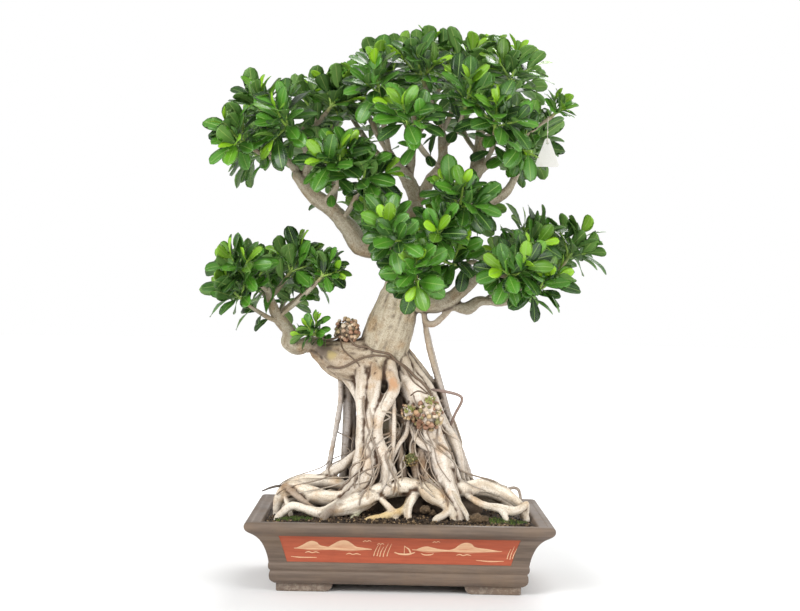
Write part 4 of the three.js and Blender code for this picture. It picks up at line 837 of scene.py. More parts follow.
def bark_relief(skin, edges, faces, routes):
    """Moves a smooth skin's points along their normals. Gives them and what the finish needs to know."""
    skin = relax(skin, edges, SMOOTH_ROUNDS)
    travelled, across, girth, owner = along_limbs(skin, routes)
    seed = owner[:, None] * 0.37
    grain = np.concatenate([across, 0.2 * travelled[:, None] + seed], 1)
    wrinkle_place = np.concatenate([0.5 * across, travelled[:, None] + seed], 1)
    swell = np.minimum(girth, 17 * MM)
    height = 0.10 * swell * rough(grain, 0.011, 2, 3) + 0.17 * swell * rough(skin, 0.042, 3, 9)
    height += 0.45 * MM * rough(wrinkle_place, 0.006, 2, 14) + 0.8 * MM * eye_marks(skin)
    skin = skin + normals(skin, faces) * height[:, None]
    skin = relax(skin, edges, 1)
    # How hollow each point lies; the bark finish paints the creases darker from it, as painted shade.
    inward = neighbour_mean(skin, edges, len(skin)) - skin
    crease = (inward * normals(skin, faces)).sum(1)[:, None]
    for _ in range(2):
        crease = 0.4 * crease + 0.6 * neighbour_mean(crease, edges, len(skin))
    return skin, grain, crease[:, 0], owner


foot_skin, foot_grain, foot_crease, foot_owner = bark_relief(foot_skin, foot_edges, foot_faces, foot_wood)
crown_skin, crown_grain, crown_crease, crown_owner = bark_relief(
    crown_skin, crown_edges, crown_faces, crown_wood)
print("crease", np.round(np.percentile(foot_crease, [1, 50, 90, 99]) * 1000, 3))

# %% [markdown]
# Where the wood is shut in, between columns and under logs, its colour is darkened: painted shade, with some
# dirt. To find such places, the wood's points are counted in a coarse grid of boxes, which is blurred. Each
# point looks a little way ahead along its normal: much wood there means that it is shut in.

# %% Measure how shut in the wood is
BOX = 6 * MM
BLUR = 2.4
OPEN_SHARE, SHUT_SPAN = 0.17, 0.26
LOOK_AHEAD = 17 * MM

grid_low = foot_skin.min(0) - 12 * BOX
grid_size = np.ceil((foot_skin.max(0) - grid_low) / BOX).astype(int) + 12
filled = np.zeros(grid_size)
filled[tuple(((foot_skin - grid_low) / BOX).astype(int).T)] = 1
waves = np.ix_(*(np.exp(-2 * (math.pi * BLUR * np.fft.fftfreq(n))**2) for n in grid_size))
blurred = np.fft.ifftn(np.fft.fftn(filled) * waves[0] * waves[1] * waves[2]).real


def shut_in(points, out):
    """Wood ahead of each point, from 0 in the open to 1 deep between the roots."""
    index = ((points + LOOK_AHEAD * out - grid_low) / BOX).astype(int)
    inside = ((index >= 0) & (index < grid_size)).all(1)
    index = np.clip(index, 0, grid_size - 1)
    return np.where(inside, np.clip((blurred[tuple(index.T)] - OPEN_SHARE) / SHUT_SPAN, 0, 1), 0)


# How much painted shade each point of the skirt gets.
foot_shut = shut_in(foot_skin, normals(foot_skin, foot_faces))
print("shut in", np.round(np.percentile(foot_shut, [10, 50, 90]), 2))

# %% [markdown]
# ## Colours of the bark
# Old bark on the trunk is grey-tan, young roots are cream, roots in the air are grey with a touch of mauve,
# and those inside the skirt are brown. Each limb gets its own tone, and the tones blend where limbs have
# fused. The heads of the columns are the oldest part of them and are as brown as the lobe.

# %% Tone every limb
TRUNK_TAN, LOBE_BROWN, CREAM = (180, 169, 148), (177, 161, 140), (242, 232, 216)
COLUMN, HEEL, AIR_GREY = (222, 212, 199), (229, 219, 207), (192, 184, 178)
INNER_BROWN, OLD_STRAP, CROWN_TAN = (156, 138, 120), (112, 94, 78), (166, 157, 138)
TONES = {
    "trunk": TRUNK_TAN, "cut_lobe": LOBE_BROWN, "column": COLUMN, "log": CREAM, "toe": CREAM, "heel": HEEL,
    "prop": HEEL, "cable": AIR_GREY, "elbow": (150, 130, 122), "sling": COLUMN, "thread": COLUMN,
    "strap": HEEL, "inner": INNER_BROWN, "heart": INNER_BROWN, "stair": COLUMN, "wrap": OLD_STRAP,
    "back": COLUMN, "side": CREAM, "boss": (234, 222, 202), "low_left": CROWN_TAN, "hook": AIR_GREY,
    "toe_3": (218, 192, 140), "toe_4": (214, 216, 180), "toe_5": (178, 160, 142), "dead": (92, 84, 78),
    # The mound's dark brown is painted shade for the hollow inside the skirt.
    "hook_root": (150, 138, 126), "web": COLUMN, "mound": (110, 94, 78),
}


def tones_of(names):
    """Linear colour of each limb, found by the longest key that starts its name."""
    keys = [max((key for key in TONES if name.startswith(key)), key=len, default="low_left")
            for name in names]
    return np.array([tint(TONES[key]) for key in keys])


def blended(tone, edges, rounds):
    """Tones softened across the joins."""
    for _ in range(rounds):
        tone = 0.3 * tone + 0.7 * neighbour_mean(tone, edges, len(tone))
    return tone


TRUNK_LIKE = ("trunk", "cut_lobe", "low_left_limb", "low_right_limb", "low_right_arm")
HEADS_FROM, HEADS_FADE = 355, 60
BROWN_FOOT_FROM, BROWN_FOOT_FADE = 184, 14

limb_of = np.array(list(foot_wood))[foot_owner]
on_trunk = np.isin(limb_of, TRUNK_LIKE)
height = foot_skin[:, 2] / MM
head = 0.85 * np.clip((height - HEADS_FROM) / HEADS_FADE, 0, 1) * ~on_trunk
brown_foot = 0.75 * np.clip((BROWN_FOOT_FROM - height) / BROWN_FOOT_FADE, 0, 1) * (limb_of == "column_right")
foot_tone = tones_of(foot_wood)[foot_owner]
for share, shade in ((head, LOBE_BROWN), (brown_foot, OLD_STRAP)):
    foot_tone += share[:, None] * (tint(shade) - foot_tone)
foot_tone = blended(foot_tone, foot_edges, 5)
crown_tone = blended(tones_of(crown_wood)[crown_owner], crown_edges, 3)
print(len(TONES), "tones")

# %% [markdown]
# ## Bark finish
# Over its tone the bark has fine streaks along the limb, a pale net of hairline cracks, tan stains and
# speckles. Painted shade, with some dirt, darkens the creases and all places that are shut in. Two scars are
# marked by their places: the saw cut on the lobe, with a yellow heart and a smoky side, and an orange rub on
# the slanting column. Lichen grows under the lowest limb.

# %% Bark finish
TRUNK_MOSS = (0.022, -0.03, 0.545)
SAW_HEART = (-0.135, -0.046, 0.428)
SAW_SMOKE = (-0.152, -0.038, 0.442)
ORANGE_RUB = (-0.018, -0.053, 0.374)
CREASE_FULL = 0.2 * MM


def near(look, spot, centre, core, reach):
    """1 within the core of a place and 0 beyond the reach, both in metres, with a ragged edge."""
    apart = look.add("VectorMath", {0: spot, 1: centre}, output="Value", operation="DISTANCE")
    ragged = look.math("MULTIPLY_ADD", look.noise(spot, 90.0, 4.0), 1.6 * reach, -0.8 * reach)
    return look.between(look.math("ADD", apart, ragged), core, reach, 1.0, 0.0)


def bark_finish(name, crack_share, speck_share):
    """Bark over the tone kept at the points."""
    bark = Finish(name, Roughness=0.75)
    grain, spot = bark.value("grain", "Vector"), bark.object_place()
    fine = bark.noise(grain, 420.0, 5.0)
    streak = bark.noise(grain, 90.0, 4.0)
    wrinkle = bark.noise(bark.stretch(grain, (0.5, 0.5, 8.0)), 160.0, 3.0)
    blotch = bark.noise(spot, 24.0, 4.0)
    speckle = bark.noise(spot, 360.0, 4.0, 0.75)
    swirl = bark.stretch(bark.add("TexNoise", {"Vector": spot, "Scale": 60.0}, 1), (0.02, 0.02, 0.02))
    wavy = bark.add("VectorMath", {0: grain, 1: swirl})
    crack = bark.between(bark.cells(wavy, 150.0, "DISTANCE_TO_EDGE"), 0.0, 0.07, crack_share, 0.0)
    tone = bark.value("tone", "Color")
    for pattern, low, high, most, stain in (
            (streak, 0.4, 0.75, 1.0, (208, 198, 184)), (speckle, 0.5, 0.64, speck_share, (188, 172, 148)),
            (blotch, 0.5, 0.7, 0.7, (230, 202, 166)), (wrinkle, 0.58, 0.74, 0.5, (170, 148, 126))):
        tone = bark.mix(bark.between(pattern, low, high, 0.0, most), tone, stain, "MULTIPLY")
    tone = bark.mix(crack, tone, (232, 220, 198))
    tone = bark.mix(near(bark, spot, ORANGE_RUB, 0.004, 0.016), tone, (184, 142, 106))
    mossy = near(bark, spot, TRUNK_MOSS, 0.012, 0.055)
    tone = bark.mix(bark.times(mossy, bark.between(speckle, 0.42, 0.6, 0.0, 0.7)), tone, (140, 132, 70))
    smoky = near(bark, spot, SAW_SMOKE, 0.014, 0.034)
    tone = bark.mix(bark.times(smoky, bark.between(streak, 0.1, 0.45)), tone, (112, 98, 84))
    tone = bark.mix(near(bark, spot, SAW_HEART, 0.003, 0.015), tone, (172, 153, 106))
    # Painted shade, with some dirt, in the creases.
    tone = bark.mix(bark.value("crease"), tone, (104, 82, 64), "MULTIPLY")
    # Painted shade, with some dirt, where the wood is shut in.
    tone = bark.mix(bark.value("shut"), tone, (94, 80, 68), "MULTIPLY")
    relief = bark.bump(wrinkle, 0.0008, 0.4, bark.bump(fine, 0.0006, 0.6, bark.bump(streak, 0.0012, 0.5)))
    return bark.done(Base_Color=tone, Normal=relief)


old_bark, root_bark = bark_finish("old_bark", 0.22, 0.75), bark_finish("root_bark", 0.08, 0.5)

foot_piece, crown_piece = Skin(), Skin()
trunk_faces = on_trunk[foot_faces].all(1)
# The crease and shut values carry the painted shade into the bark finish.
foot_piece.add(foot_skin, [foot_faces[~trunk_faces], foot_faces[trunk_faces]], [0, 1], grain=foot_grain,
               tone=foot_tone, crease=np.clip(foot_crease / CREASE_FULL, 0, 1), shut=0.95 * foot_shut)
place_piece(foot_piece.mesh("trunk_and_roots"), "trunk_and_roots", [root_bark, old_bark], "bark", "wood")
crown_piece.add(crown_skin, [crown_faces], grain=crown_grain, tone=crown_tone, shut=0.0,
                crease=np.clip(crown_crease / CREASE_FULL, 0, 1))
place_piece(crown_piece.mesh("crown_limbs"), "crown_limbs", [old_bark], "bark", "wood")

# %% [markdown]
# ## Thin roots and twigs
# Thin roots stay plain tubes. Some old ones are wrapped round the trunk like dark cords: their lines are
# laid on the nearest places of the skin, and their dark brown is partly painted shadow. A few more hang over
# the rim. Then dozens of hair roots drape the skirt: each goes down on the outermost wood, which is known
# from a map of the skin's reach at every height and bearing.

# %% Drape the hair roots
CORDS = {
    "wrap_1": [[-155, -20, 461, 2.2], [-110, -44, 466, 2.3], [-84, -52, 455, 2.2], [-61, -54, 442, 2.3],
        [-35, -56, 434, 2.2], [-6, -50, 424, 2.4], [19, -40, 400, 2.8], [44, -34, 373, 3],
        [58, -34, 356, 2.4]],
    "wrap_2": [[-150, -30, 396, 2], [-135, -40, 402, 2.6], [-108, -46, 407, 2.6], [-86, -50, 421, 2.4],
        [-61, -54, 430, 2], [-31, -56, 429, 1.8], [-8, -50, 424, 1.6]],
    "wrap_3": [[2, -50, 420, 1.4], [18, -48, 388, 1.6], [46, -50, 372, 1.5], [64, -50, 366, 1.2]],
    "wrap_4": [[12, -50, 352, 1.2], [30, -52, 366, 1.5], [52, -52, 362, 1.4], [66, -48, 372, 1.1]],
    "wrap_5": [[-128, -30, 470, 1.3], [-112, -48, 446, 1.6], [-92, -50, 424, 1.5], [-80, -52, 408, 1.2]],
    "wrap_6": [[-40, -56, 240, 1.6], [-62, -66, 214, 2], [-92, -70, 196, 2], [-116, -72, 182, 1.7]],
}
RIM_ROOTS = {
    "dead_root": [[-212, -46, 176, 3], [-228, -54, 180, 2.6], [-243, -58, 177, 2.2], [-258, -60, 171, 1.4]],
    "hook_root": [[196, -40, 174, 3.2], [204, -44, 181, 3.2], [215, -48, 184.5, 3], [224, -52, 180, 2.9],
        [228, -54, 161, 2.6], [229, -54, 146, 2.4]],
}
HAIR_ROOTS = 40
HAIR_TOP, HAIR_FOOT, HAIR_RADIUS = (0.22, 0.36), (0.155, 0.2), (1.2, 2.3)
SKIRT_MIDDLE = np.array([8, -8]) * MM
BEARINGS, LEVELS = 90, 57
LEVEL_STEP = 8 * MM

bearing = np.arctan2(foot_skin[:, 1] - SKIRT_MIDDLE[1], foot_skin[:, 0] - SKIRT_MIDDLE[0])
column = ((bearing / (2 * math.pi) + 0.5) * BEARINGS).astype(int) % BEARINGS
level = np.clip((foot_skin[:, 2] / LEVEL_STEP).astype(int), 0, LEVELS - 1)
reach_map = np.zeros((LEVELS, BEARINGS))
np.maximum.at(reach_map, (level, column), np.linalg.norm(foot_skin[:, :2] - SKIRT_MIDDLE, axis=1))


def evened(values, rounds):
    """Values along a line, blended with their neighbours, except at the two ends."""
    for _ in range(rounds):
        values[1:-1] = 0.25 * values[:-2] + 0.5 * values[1:-1] + 0.25 * values[2:]
    return values


def lay_on_skin(line, radius):
    """A line moved onto the nearest places of the skin, half sunk into it and evened out."""
    apart = (line**2).sum(1)[:, None] + (foot_skin**2).sum(1)[None] - 2 * line @ foot_skin.T
    nearest = np.argmin(apart, 1)
    return evened(foot_skin[nearest] + (0.5 * radius)[:, None] * foot_out[nearest], 4)


def reach_at(bearing, height):
    """Reach of the outermost wood at a bearing and a height, blended between the map's boxes."""
    u = (bearing / (2 * math.pi) + 0.5) * BEARINGS - 0.5
    v = height / LEVEL_STEP - 0.5
    column, row = np.floor(u).astype(int), np.floor(v).astype(int)
    part_u, part_v = u - column, v - row
    corners = [reach_map[row + j, (column + i) % BEARINGS] for j in (0, 1) for i in (0, 1)]
    low = corners[0] * (1 - part_u) + corners[1] * part_u
    return low * (1 - part_v) + (corners[2] * (1 - part_u) + corners[3] * part_u) * part_v


foot_out = normals(foot_skin, foot_faces)
dice = np.random.default_rng(23)
hair = []
for route in CORDS.values():
    line, radius, _ = curve_through(route)
    # Cords take the darkest tone, which is partly painted shadow.
    hair.append((lay_on_skin(line, radius), radius, 3))
t = np.linspace(0, 1, 26)
for number in range(HAIR_ROOTS):
    turn = -math.pi * dice.uniform(0.06, 0.94) if number % 4 else dice.uniform(0, math.pi)
    high, low = dice.uniform(*HAIR_TOP), dice.uniform(*HAIR_FOOT)
    height = high + (low - high) * t
    turn = turn + dice.uniform(-0.6, 0.6) * t
    turn += 0.09 * np.sin(9 * t * dice.uniform(0.6, 1.4) + 6 * dice.random())
    radius = dice.uniform(*HAIR_RADIUS) * MM * (1 - 0.3 * t)
    reach = evened(reach_at(turn, height) + 0.5 * radius, 3)
    flat = SKIRT_MIDDLE + reach[:, None] * np.stack([np.cos(turn), np.sin(turn)], -1)
    hair.append((np.c_[flat, height], radius, dice.choice([0, 1, 2])))
print(len(hair), "hair roots")

# %% Build thin roots and twigs
# The last tone is the cords' dark brown, partly painted shadow.
HAIR_TONES = ((200, 189, 176), (170, 155, 140), (220, 208, 192), (124, 104, 86))


def barked_tube(line, radius, sides, number):
    """A thin tube and the run of its grain, which starts at another place for each number."""
    points, tube_faces, distance, turn, girth = tube(line, radius, sides, distances(line))
    grain = np.stack([girth * np.cos(turn), girth * np.sin(turn), 0.2 * distance + number], -1)
    return points, tube_faces, grain


slender = Skin()
slim_routes = {**thin, **RIM_ROOTS, **{"crown_" + name: rooted(route) for name, route in SPRAYS.items()}}
for number, (name, route) in enumerate(slim_routes.items()):
    points, tube_faces, grain = barked_tube(*curve_through(route)[:2], 10, number)
    # Thin roots inside the skirt get painted shade where they are shut in.
    shade = 0.7 * shut_in(points, 0 * points) if name in thin else 0.0
    slender.add(points, tube_faces, grain=grain, crease=0.0, shut=shade, tone=tones_of([name]))
for number, (line, radius, kind) in enumerate(hair):
    points, tube_faces, grain = barked_tube(line, radius, 6, number)
    # Every hair root is darkened by a fixed quarter of the shut-in shade.
    slender.add(points, tube_faces, grain=grain, crease=0.0, shut=0.25, tone=[tint(HAIR_TONES[kind])])
place_piece(slender.mesh("thin_roots_and_twigs"), "thin_roots_and_twigs", [root_bark], "bark", "wood")

# %% [markdown]
# ## Burls
# Where the trunk was wounded, it heaped up clusters of knobs. A knob is a small lumpy ball. They sit on
# each burl's round core at the places of a golden spiral, and a few tiny sprouts stand between them.

# %% Heap the burls
GOLDEN_ANGLE = 2.39996
KNOBS_PER_BURL = (150, 60, 110, 40, 70)
MOSSY_CLUMP = [20, -52, 233, 12]
SPROUT_LEAVES = 5
BURL_CASTS = np.array([[1, 1, 1]] * 4 + [[0.5, 0.54, 0.3]])
SPROUTS = {
    (150, 158, 90): [(52, -66, 348), (60, -62, 346), (46, -68, 344), (56, -70, 340), (14, -56, 330),
                     (20, -58, 326), (10, -54, 322)],
    (100, 106, 58): [(14, -62, 238), (22, -63, 240), (26, -62, 234), (18, -64, 230)],
}
KNOB_TONES = (
    (176, 138, 114), (198, 170, 142), (226, 210, 188), (156, 120, 98), (206, 182, 142), (142, 138, 92),
)

knob_points, knob_faces = ball(9, 12)
burls = Skin()
for (*spot, radius), count, cast in zip([*GALLS, MOSSY_CLUMP], KNOBS_PER_BURL, BURL_CASTS, strict=True):
    k = np.arange(count)
    high = 1 - 2 * (k + 0.5) / count
    turn = k * GOLDEN_ANGLE
    out = np.stack([np.sqrt(1 - high**2) * np.cos(turn), np.sqrt(1 - high**2) * np.sin(turn), high], -1)
    out = unit(out + 0.25 * dice.normal(size=(count, 3)))
    size = radius * dice.uniform(0.1, 0.2, count)
    for direction, knob_size in zip(out, size, strict=True):
        lumpy = 1 + 0.3 * rough(knob_points + direction * 9, 0.8, 2, 5)
        stretch_out = 1 + 0.4 * dice.random() * (knob_points @ direction)
        place = np.array(spot) + (0.8 + 0.22 * dice.random()) * radius * direction
        points = place + knob_size * (lumpy * stretch_out)[:, None] * knob_points
        tone = cast * tint(KNOB_TONES[dice.integers(0, len(KNOB_TONES))])
        # Painted shade: each knob is darker on its side towards the core and its neighbours.
        facing = np.clip(knob_points @ direction, -1, 1)
        burls.add(points * MM, knob_faces, grain=knob_points * knob_size * MM + direction, tone=[tone],
                  crease=0.0, shut=np.clip(0.5 - 0.8 * facing, 0, 1))
for green, feet in SPROUTS.items():
    for foot_point in np.repeat(feet, SPROUT_LEAVES, 0):
        rise = unit(np.array([dice.normal(), dice.normal() - 0.6, 1.6]))
        way = [[*foot_point, 1.1], [*(foot_point + 4 * rise), 1.5], [*(foot_point + 9 * rise), 0.4]]
        points, faces = tube(*curve_through(way, 1.5 * MM)[:2], 6)
        burls.add(points, faces, grain=points, tone=[tint(green)], crease=0.0, shut=0.0)
place_piece(burls.mesh("burls"), "burls", [root_bark], "bark", "wood")

# %% [markdown]
# ## Pot
# The walls are one profile that goes round a rectangle. Cutting the corners of the profile twice makes its
# edges soft, as if they were wiped with a sponge. The long walls carry a shallow panel: the points inside
# its border are pushed back by its depth.

# %% Sizes of the pot
POT_LENGTH, POT_DEPTH = 560, 400
POT_CORNER = 4.5
FLOOR_TOP = 27
OUTSIDE = [
    [53, 15], [48, 18], [43.5, 24], [43.5, 34], [46, 38.5], [42, 43], [41.5, 50.5], [43, 54], [38.5, 74],
    [30, 93], [19.5, 105], [4.5, 114], [0, 120], [0, 128], [5, 132], [13, 132], [14, 130.6], [27, 130.6],
    [30, 128],
]
INSIDE = [[36, 108], [46, 90], [54, 66], [58, FLOOR_TOP]]
PANEL_LOW, PANEL_HIGH = 55.5, 107.0
PANEL_HALF_LOW, PANEL_HALF_HIGH = 204, 219
PANEL_DEPTH, PANEL_LIP = 1.2, 0.7


def cut_corners(line, rounds):
    """Softens an open line: every segment gives the points at one and three quarters of its length."""
    line = np.array(line, float)
    for _ in range(rounds):
        a, b = line[:-1], line[1:]
        soft = np.stack([0.75 * a + 0.25 * b, 0.25 * a + 0.75 * b], 1).reshape(-1, 2)
        line = np.vstack([line[:1], soft, line[-1:]])
    return line


wall = cut_corners(OUTSIDE + INSIDE, 2)
rise = np.argmax(wall[:, 1] > PANEL_HIGH + 3)
levels = [PANEL_LOW, PANEL_LOW + PANEL_LIP, PANEL_HIGH - PANEL_LIP, PANEL_HIGH, *np.arange(60, 105, 4.5)]
extra = np.stack([np.interp(levels, wall[:rise, 1], wall[:rise, 0]), levels], 1)
lower = np.vstack([wall[:rise], extra])
wall = np.vstack([lower[np.argsort(lower[:, 1], kind="stable")], wall[rise:]])
print(len(wall), "rings from foot to floor")

# %% [markdown]
# Each ring is a rectangle with round corners. Along the long sides it has points at both borders of the
# panel and just inside them, so the panel's edge stays crisp.

# %% Walls of the pot
CORNER_STEPS, LONG_STEPS, SHORT_STEPS = 6, 24, 18


def panel_half(z):
    """Half the panel's length, which grows from its lower edge to its upper one."""
    return np.interp(z, [PANEL_LOW, PANEL_HIGH], [PANEL_HALF_LOW, PANEL_HALF_HIGH])


def ring_points(inset, z):
    """Rings round the pot, an array of ring x point, from the front wall's left end to the right."""
    inset, z = inset[:, None], z[:, None]
    half_x, half_y = POT_LENGTH / 2 - inset, POT_DEPTH / 2 - inset
    border, end = panel_half(z), half_x - POT_CORNER
    halfway = 0.5 * (end + border)
    middle = np.linspace(-1, 1, LONG_STEPS)[None] * (border - PANEL_LIP)
    front = np.concatenate([-end, -halfway, -border, middle, border, halfway, end], 1)
    swing = np.linspace(0, math.pi / 2, CORNER_STEPS + 1)[None, 1:-1] + 0 * z
    side = np.linspace(-1, 1, SHORT_STEPS)[None] * (half_y - POT_CORNER)
    long_wall = np.stack([front, -half_y + 0 * front], -1)
    corner = np.stack([end + POT_CORNER * np.sin(swing), -half_y + POT_CORNER * (1 - np.cos(swing))], -1)
    short_wall = np.stack([half_x + 0 * side, side], -1)
    far_corner = np.stack([end + POT_CORNER * np.cos(swing), half_y - POT_CORNER * (1 - np.sin(swing))], -1)
    half = np.concatenate([long_wall, corner, short_wall, far_corner], 1)
    flat = np.concatenate([half, -half], 1)
    return np.concatenate([flat, np.broadcast_to(z[..., None], (*flat.shape[:2], 1))], -1)


rings = ring_points(wall[:, 0], wall[:, 1])
x, y, z = np.moveaxis(rings, -1, 0)
inside_border = (np.abs(x) < panel_half(z) - 0.5 * PANEL_LIP) & (z > PANEL_LOW + 0.1) & (z < PANEL_HIGH - 0.1)
on_long_wall = np.abs(y) > POT_DEPTH / 2 - wall[:, :1] - 0.01
pressed = inside_border & on_long_wall & (np.arange(len(wall)) < len(lower))[:, None]
rings[..., 1] -= np.sign(y) * PANEL_DEPTH * pressed
wall_faces = grid_faces(*rings.shape[:2], True)
in_panel = pressed.ravel()[wall_faces].all(1)
print(rings.shape[1], "points round each ring,", int(in_panel.sum()), "faces in the two panels")

# %% [markdown]
# A foot is a low bar that turns the corner and whose two ends curve up to the pot. It is one section
# carried round the corner. The floor and the underside are flat fills, and two drain holes are bored
# through both.

# %% Feet, floor and drain holes
FOOT_HEIGHT, FOOT_WIDTH, FOOT_EDGE = 15, 24, 1.3
FOOT_CORNER = np.array([224, 144])
FOOT_REACH = np.array([104, 83])
FOOT_CURVE = 15
DRAIN_RADIUS, DRAIN_PLACE = 16, 120


def foot(sign):
    """The foot at one corner, as a grid of station x section point, and its faces.

    Formula: the sole rises by height (1 - sqrt(1 - t^2)) over the last stretch of each arm, where t goes from
    0 to 1.
    """
    t = np.linspace(0, 1, 8)
    arm_x = FOOT_REACH[0] - FOOT_CURVE * (1 - t[::-1])
    arm_y = FOOT_REACH[1] - FOOT_CURVE * (1 - t)
    sole = np.minimum((FOOT_HEIGHT + 0.8) * (1 - np.sqrt(1 - t**2)), FOOT_HEIGHT - 0.8)
    turn = np.linspace(0, math.pi / 2, 6)
    offset = np.array([0, 0, FOOT_EDGE, FOOT_WIDTH - FOOT_EDGE, FOOT_WIDTH, FOOT_WIDTH])
    drop_x = np.stack([arm_x[:, None] + 0 * offset, offset + 0 * arm_x[:, None]], -1)
    bend = np.maximum(POT_CORNER - offset, 0.4)[None]
    drop_c = np.stack([offset + bend * (1 - wave(turn[:, None])) for wave in (np.sin, np.cos)], -1)
    drop_y = np.stack([offset + 0 * arm_y[:, None], arm_y[:, None] + 0 * offset], -1)
    plan = (FOOT_CORNER - np.concatenate([drop_x, drop_c, drop_y])) * np.array(sign)
    rise = np.concatenate([sole[::-1], 0 * turn, sole])
    top = FOOT_HEIGHT + 0.6
    level = np.stack([top + 0 * rise, rise + FOOT_EDGE, rise, rise, rise + FOOT_EDGE, top + 0 * rise], 1)
    level = np.minimum(level, top)
    shell = grid_faces(len(plan), 6, True)
    ends = np.stack([np.arange(6), np.arange(6) + 6 * (len(plan) - 1)])
    return np.concatenate([plan, level[..., None]], -1), [shell, ends]


def with_holes(mesh, posts, order):
    """Cuts a hole along each post of two rings. The order, 1 or -1, turns the posts' faces outwards."""
    cutter = Skin()
    for post in posts:
        ring = np.arange(len(post[0]))[None]
        sides = grid_faces(2, ring.size, True)
        cutter.add(np.vstack(post) * MM, [sides[:, ::order], ring[:, ::-order], ring[:, ::order] + ring.size])
    tool = linked("cutter", cutter.mesh("cutter", smooth=False))
    cut = through_modifier(mesh, "BOOLEAN", object=tool, operation="DIFFERENCE", solver="EXACT")
    bpy.data.objects.remove(tool)
    return cut


vessel = Skin()
vessel.add(rings.reshape(-1, 3) * MM, [wall_faces[~in_panel], wall_faces[in_panel]], [0, 1])
columns = np.arange(rings.shape[1])
vessel.add(rings[[0, -1]].reshape(-1, 3) * MM, [columns[None, ::-1], columns[None] + rings.shape[1]])
shell_mesh = vessel.mesh("pot")
work = bmesh.new()
work.from_mesh(shell_mesh)
bmesh.ops.remove_doubles(work, verts=work.verts, dist=0.02 * MM)
work.to_mesh(shell_mesh)
work.free()

angle = np.linspace(0, 2 * math.pi, 48, endpoint=False)
drill_ring = DRAIN_RADIUS * np.stack([np.cos(angle), np.sin(angle)], -1)
bored = with_holes(shell_mesh, [
    [np.c_[drill_ring + [place_x, 0], 0 * angle + level] for level in (FLOOR_TOP + 3, FOOT_HEIGHT - 3)]
    for place_x in (-DRAIN_PLACE, DRAIN_PLACE)
], -1)
print(len(shell_mesh.polygons), "faces before the drain holes,", len(bored.polygons), "after")

# %% [markdown]
# The panel is painted with raised cream slip: a quiet river scene with low hills, reeds, a boat and birds.
# The layout is this lesson's own. A brush stroke is a tube pressed nearly flat on the panel, and a hill is
# a sheet between its ridge and its foot, thicker at the ridge and fading into the red ground below.

# %% Paint the panel in slip
HILLS = [
    [[-186, 83], [-176, 88], [-167, 94], [-158, 97], [-149, 94], [-142, 88], [-122, 85], [-100, 83]],
    [[-134, 82], [-120, 91], [-108, 98], [-96, 99], [-86, 93], [-78, 87], [-66, 85], [-50, 83]],
    [[30, 83], [40, 88], [50, 90], [60, 88], [74, 85], [100, 83]],
    [[88, 83], [100, 87], [108, 94], [119, 99], [130, 97], [138, 90], [160, 87], [184, 83]],
]
REED_FEET = [-46, -40, -35, -29, -22, 196, 201, 206]
STROKES = [
    [[-190, 82, 0.7], [-120, 81.4, 1.5], [-50, 82, 0.6]], [[24, 83, 0.6], [100, 82.2, 1.6], [186, 83, 0.5]],
    [[-8, 77, 0.8], [2, 74.2, 1.5], [16, 74, 1.7], [28, 77.6, 0.8]], [[9, 75, 0.6], [9.6, 90, 0.5]],
    [[9, 90, 0.4], [17, 84, 1.3], [20, 78, 1.6]],
    [[40, 76, 0.6], [46, 73.6, 1.0], [56, 73.8, 1.0], [62, 76, 0.6]],
    [[-66, 97, 0.4], [-62, 99.4, 0.8], [-59, 97.6, 0.5], [-55, 99.8, 0.8], [-51, 98, 0.4]],
    [[-40, 92, 0.4], [-37, 94, 0.7], [-34, 92.4, 0.5], [-31, 94.2, 0.7], [-28, 92.8, 0.4]],
    [[60, 98, 0.4], [63.4, 100.2, 0.8], [66, 98.6, 0.5], [69.6, 100.6, 0.8], [73, 99, 0.4]],
    [[-170, 74, 0.5], [-164, 75.6, 0.9], [-158, 73.8, 0.8], [-151, 75.4, 0.9], [-145, 73.6, 0.5]],
    [[-96, 72, 0.5], [-90, 73.8, 0.9], [-84, 71.8, 0.8], [-77, 73.4, 0.9], [-70, 71.6, 0.5]],
    [[104, 74, 0.5], [110, 75.6, 0.9], [116, 73.8, 0.8], [123, 75.4, 0.9], [130, 74, 0.5]],
    [[-196, 66, 0.4], [-180, 64.6, 1.1], [-150, 65, 0.5]],
    [[140, 65, 0.4], [166, 63.4, 1.2], [190, 64.4, 0.4]],
]
SLIP_HEIGHT = 0.9


def panel_depth(z):
    """How far the panel's surface lies from the pot's middle plane at a height."""
    order = np.argsort(lower[:, 1])
    return POT_DEPTH / 2 - np.interp(z, lower[order, 1], lower[order, 0]) - PANEL_DEPTH


def brushed(points, front):
    """Presses a stroke's tube onto the panel, to a third of its own thickness."""
    lift = np.minimum(np.abs(points[:, 1]), 1.4) * np.sign(points[:, 1])
    out = front * (panel_depth(points[:, 2]) + 0.15 + SLIP_HEIGHT * 0.36 * lift)
    return np.stack([front * -points[:, 0], out, points[:, 2]], -1)


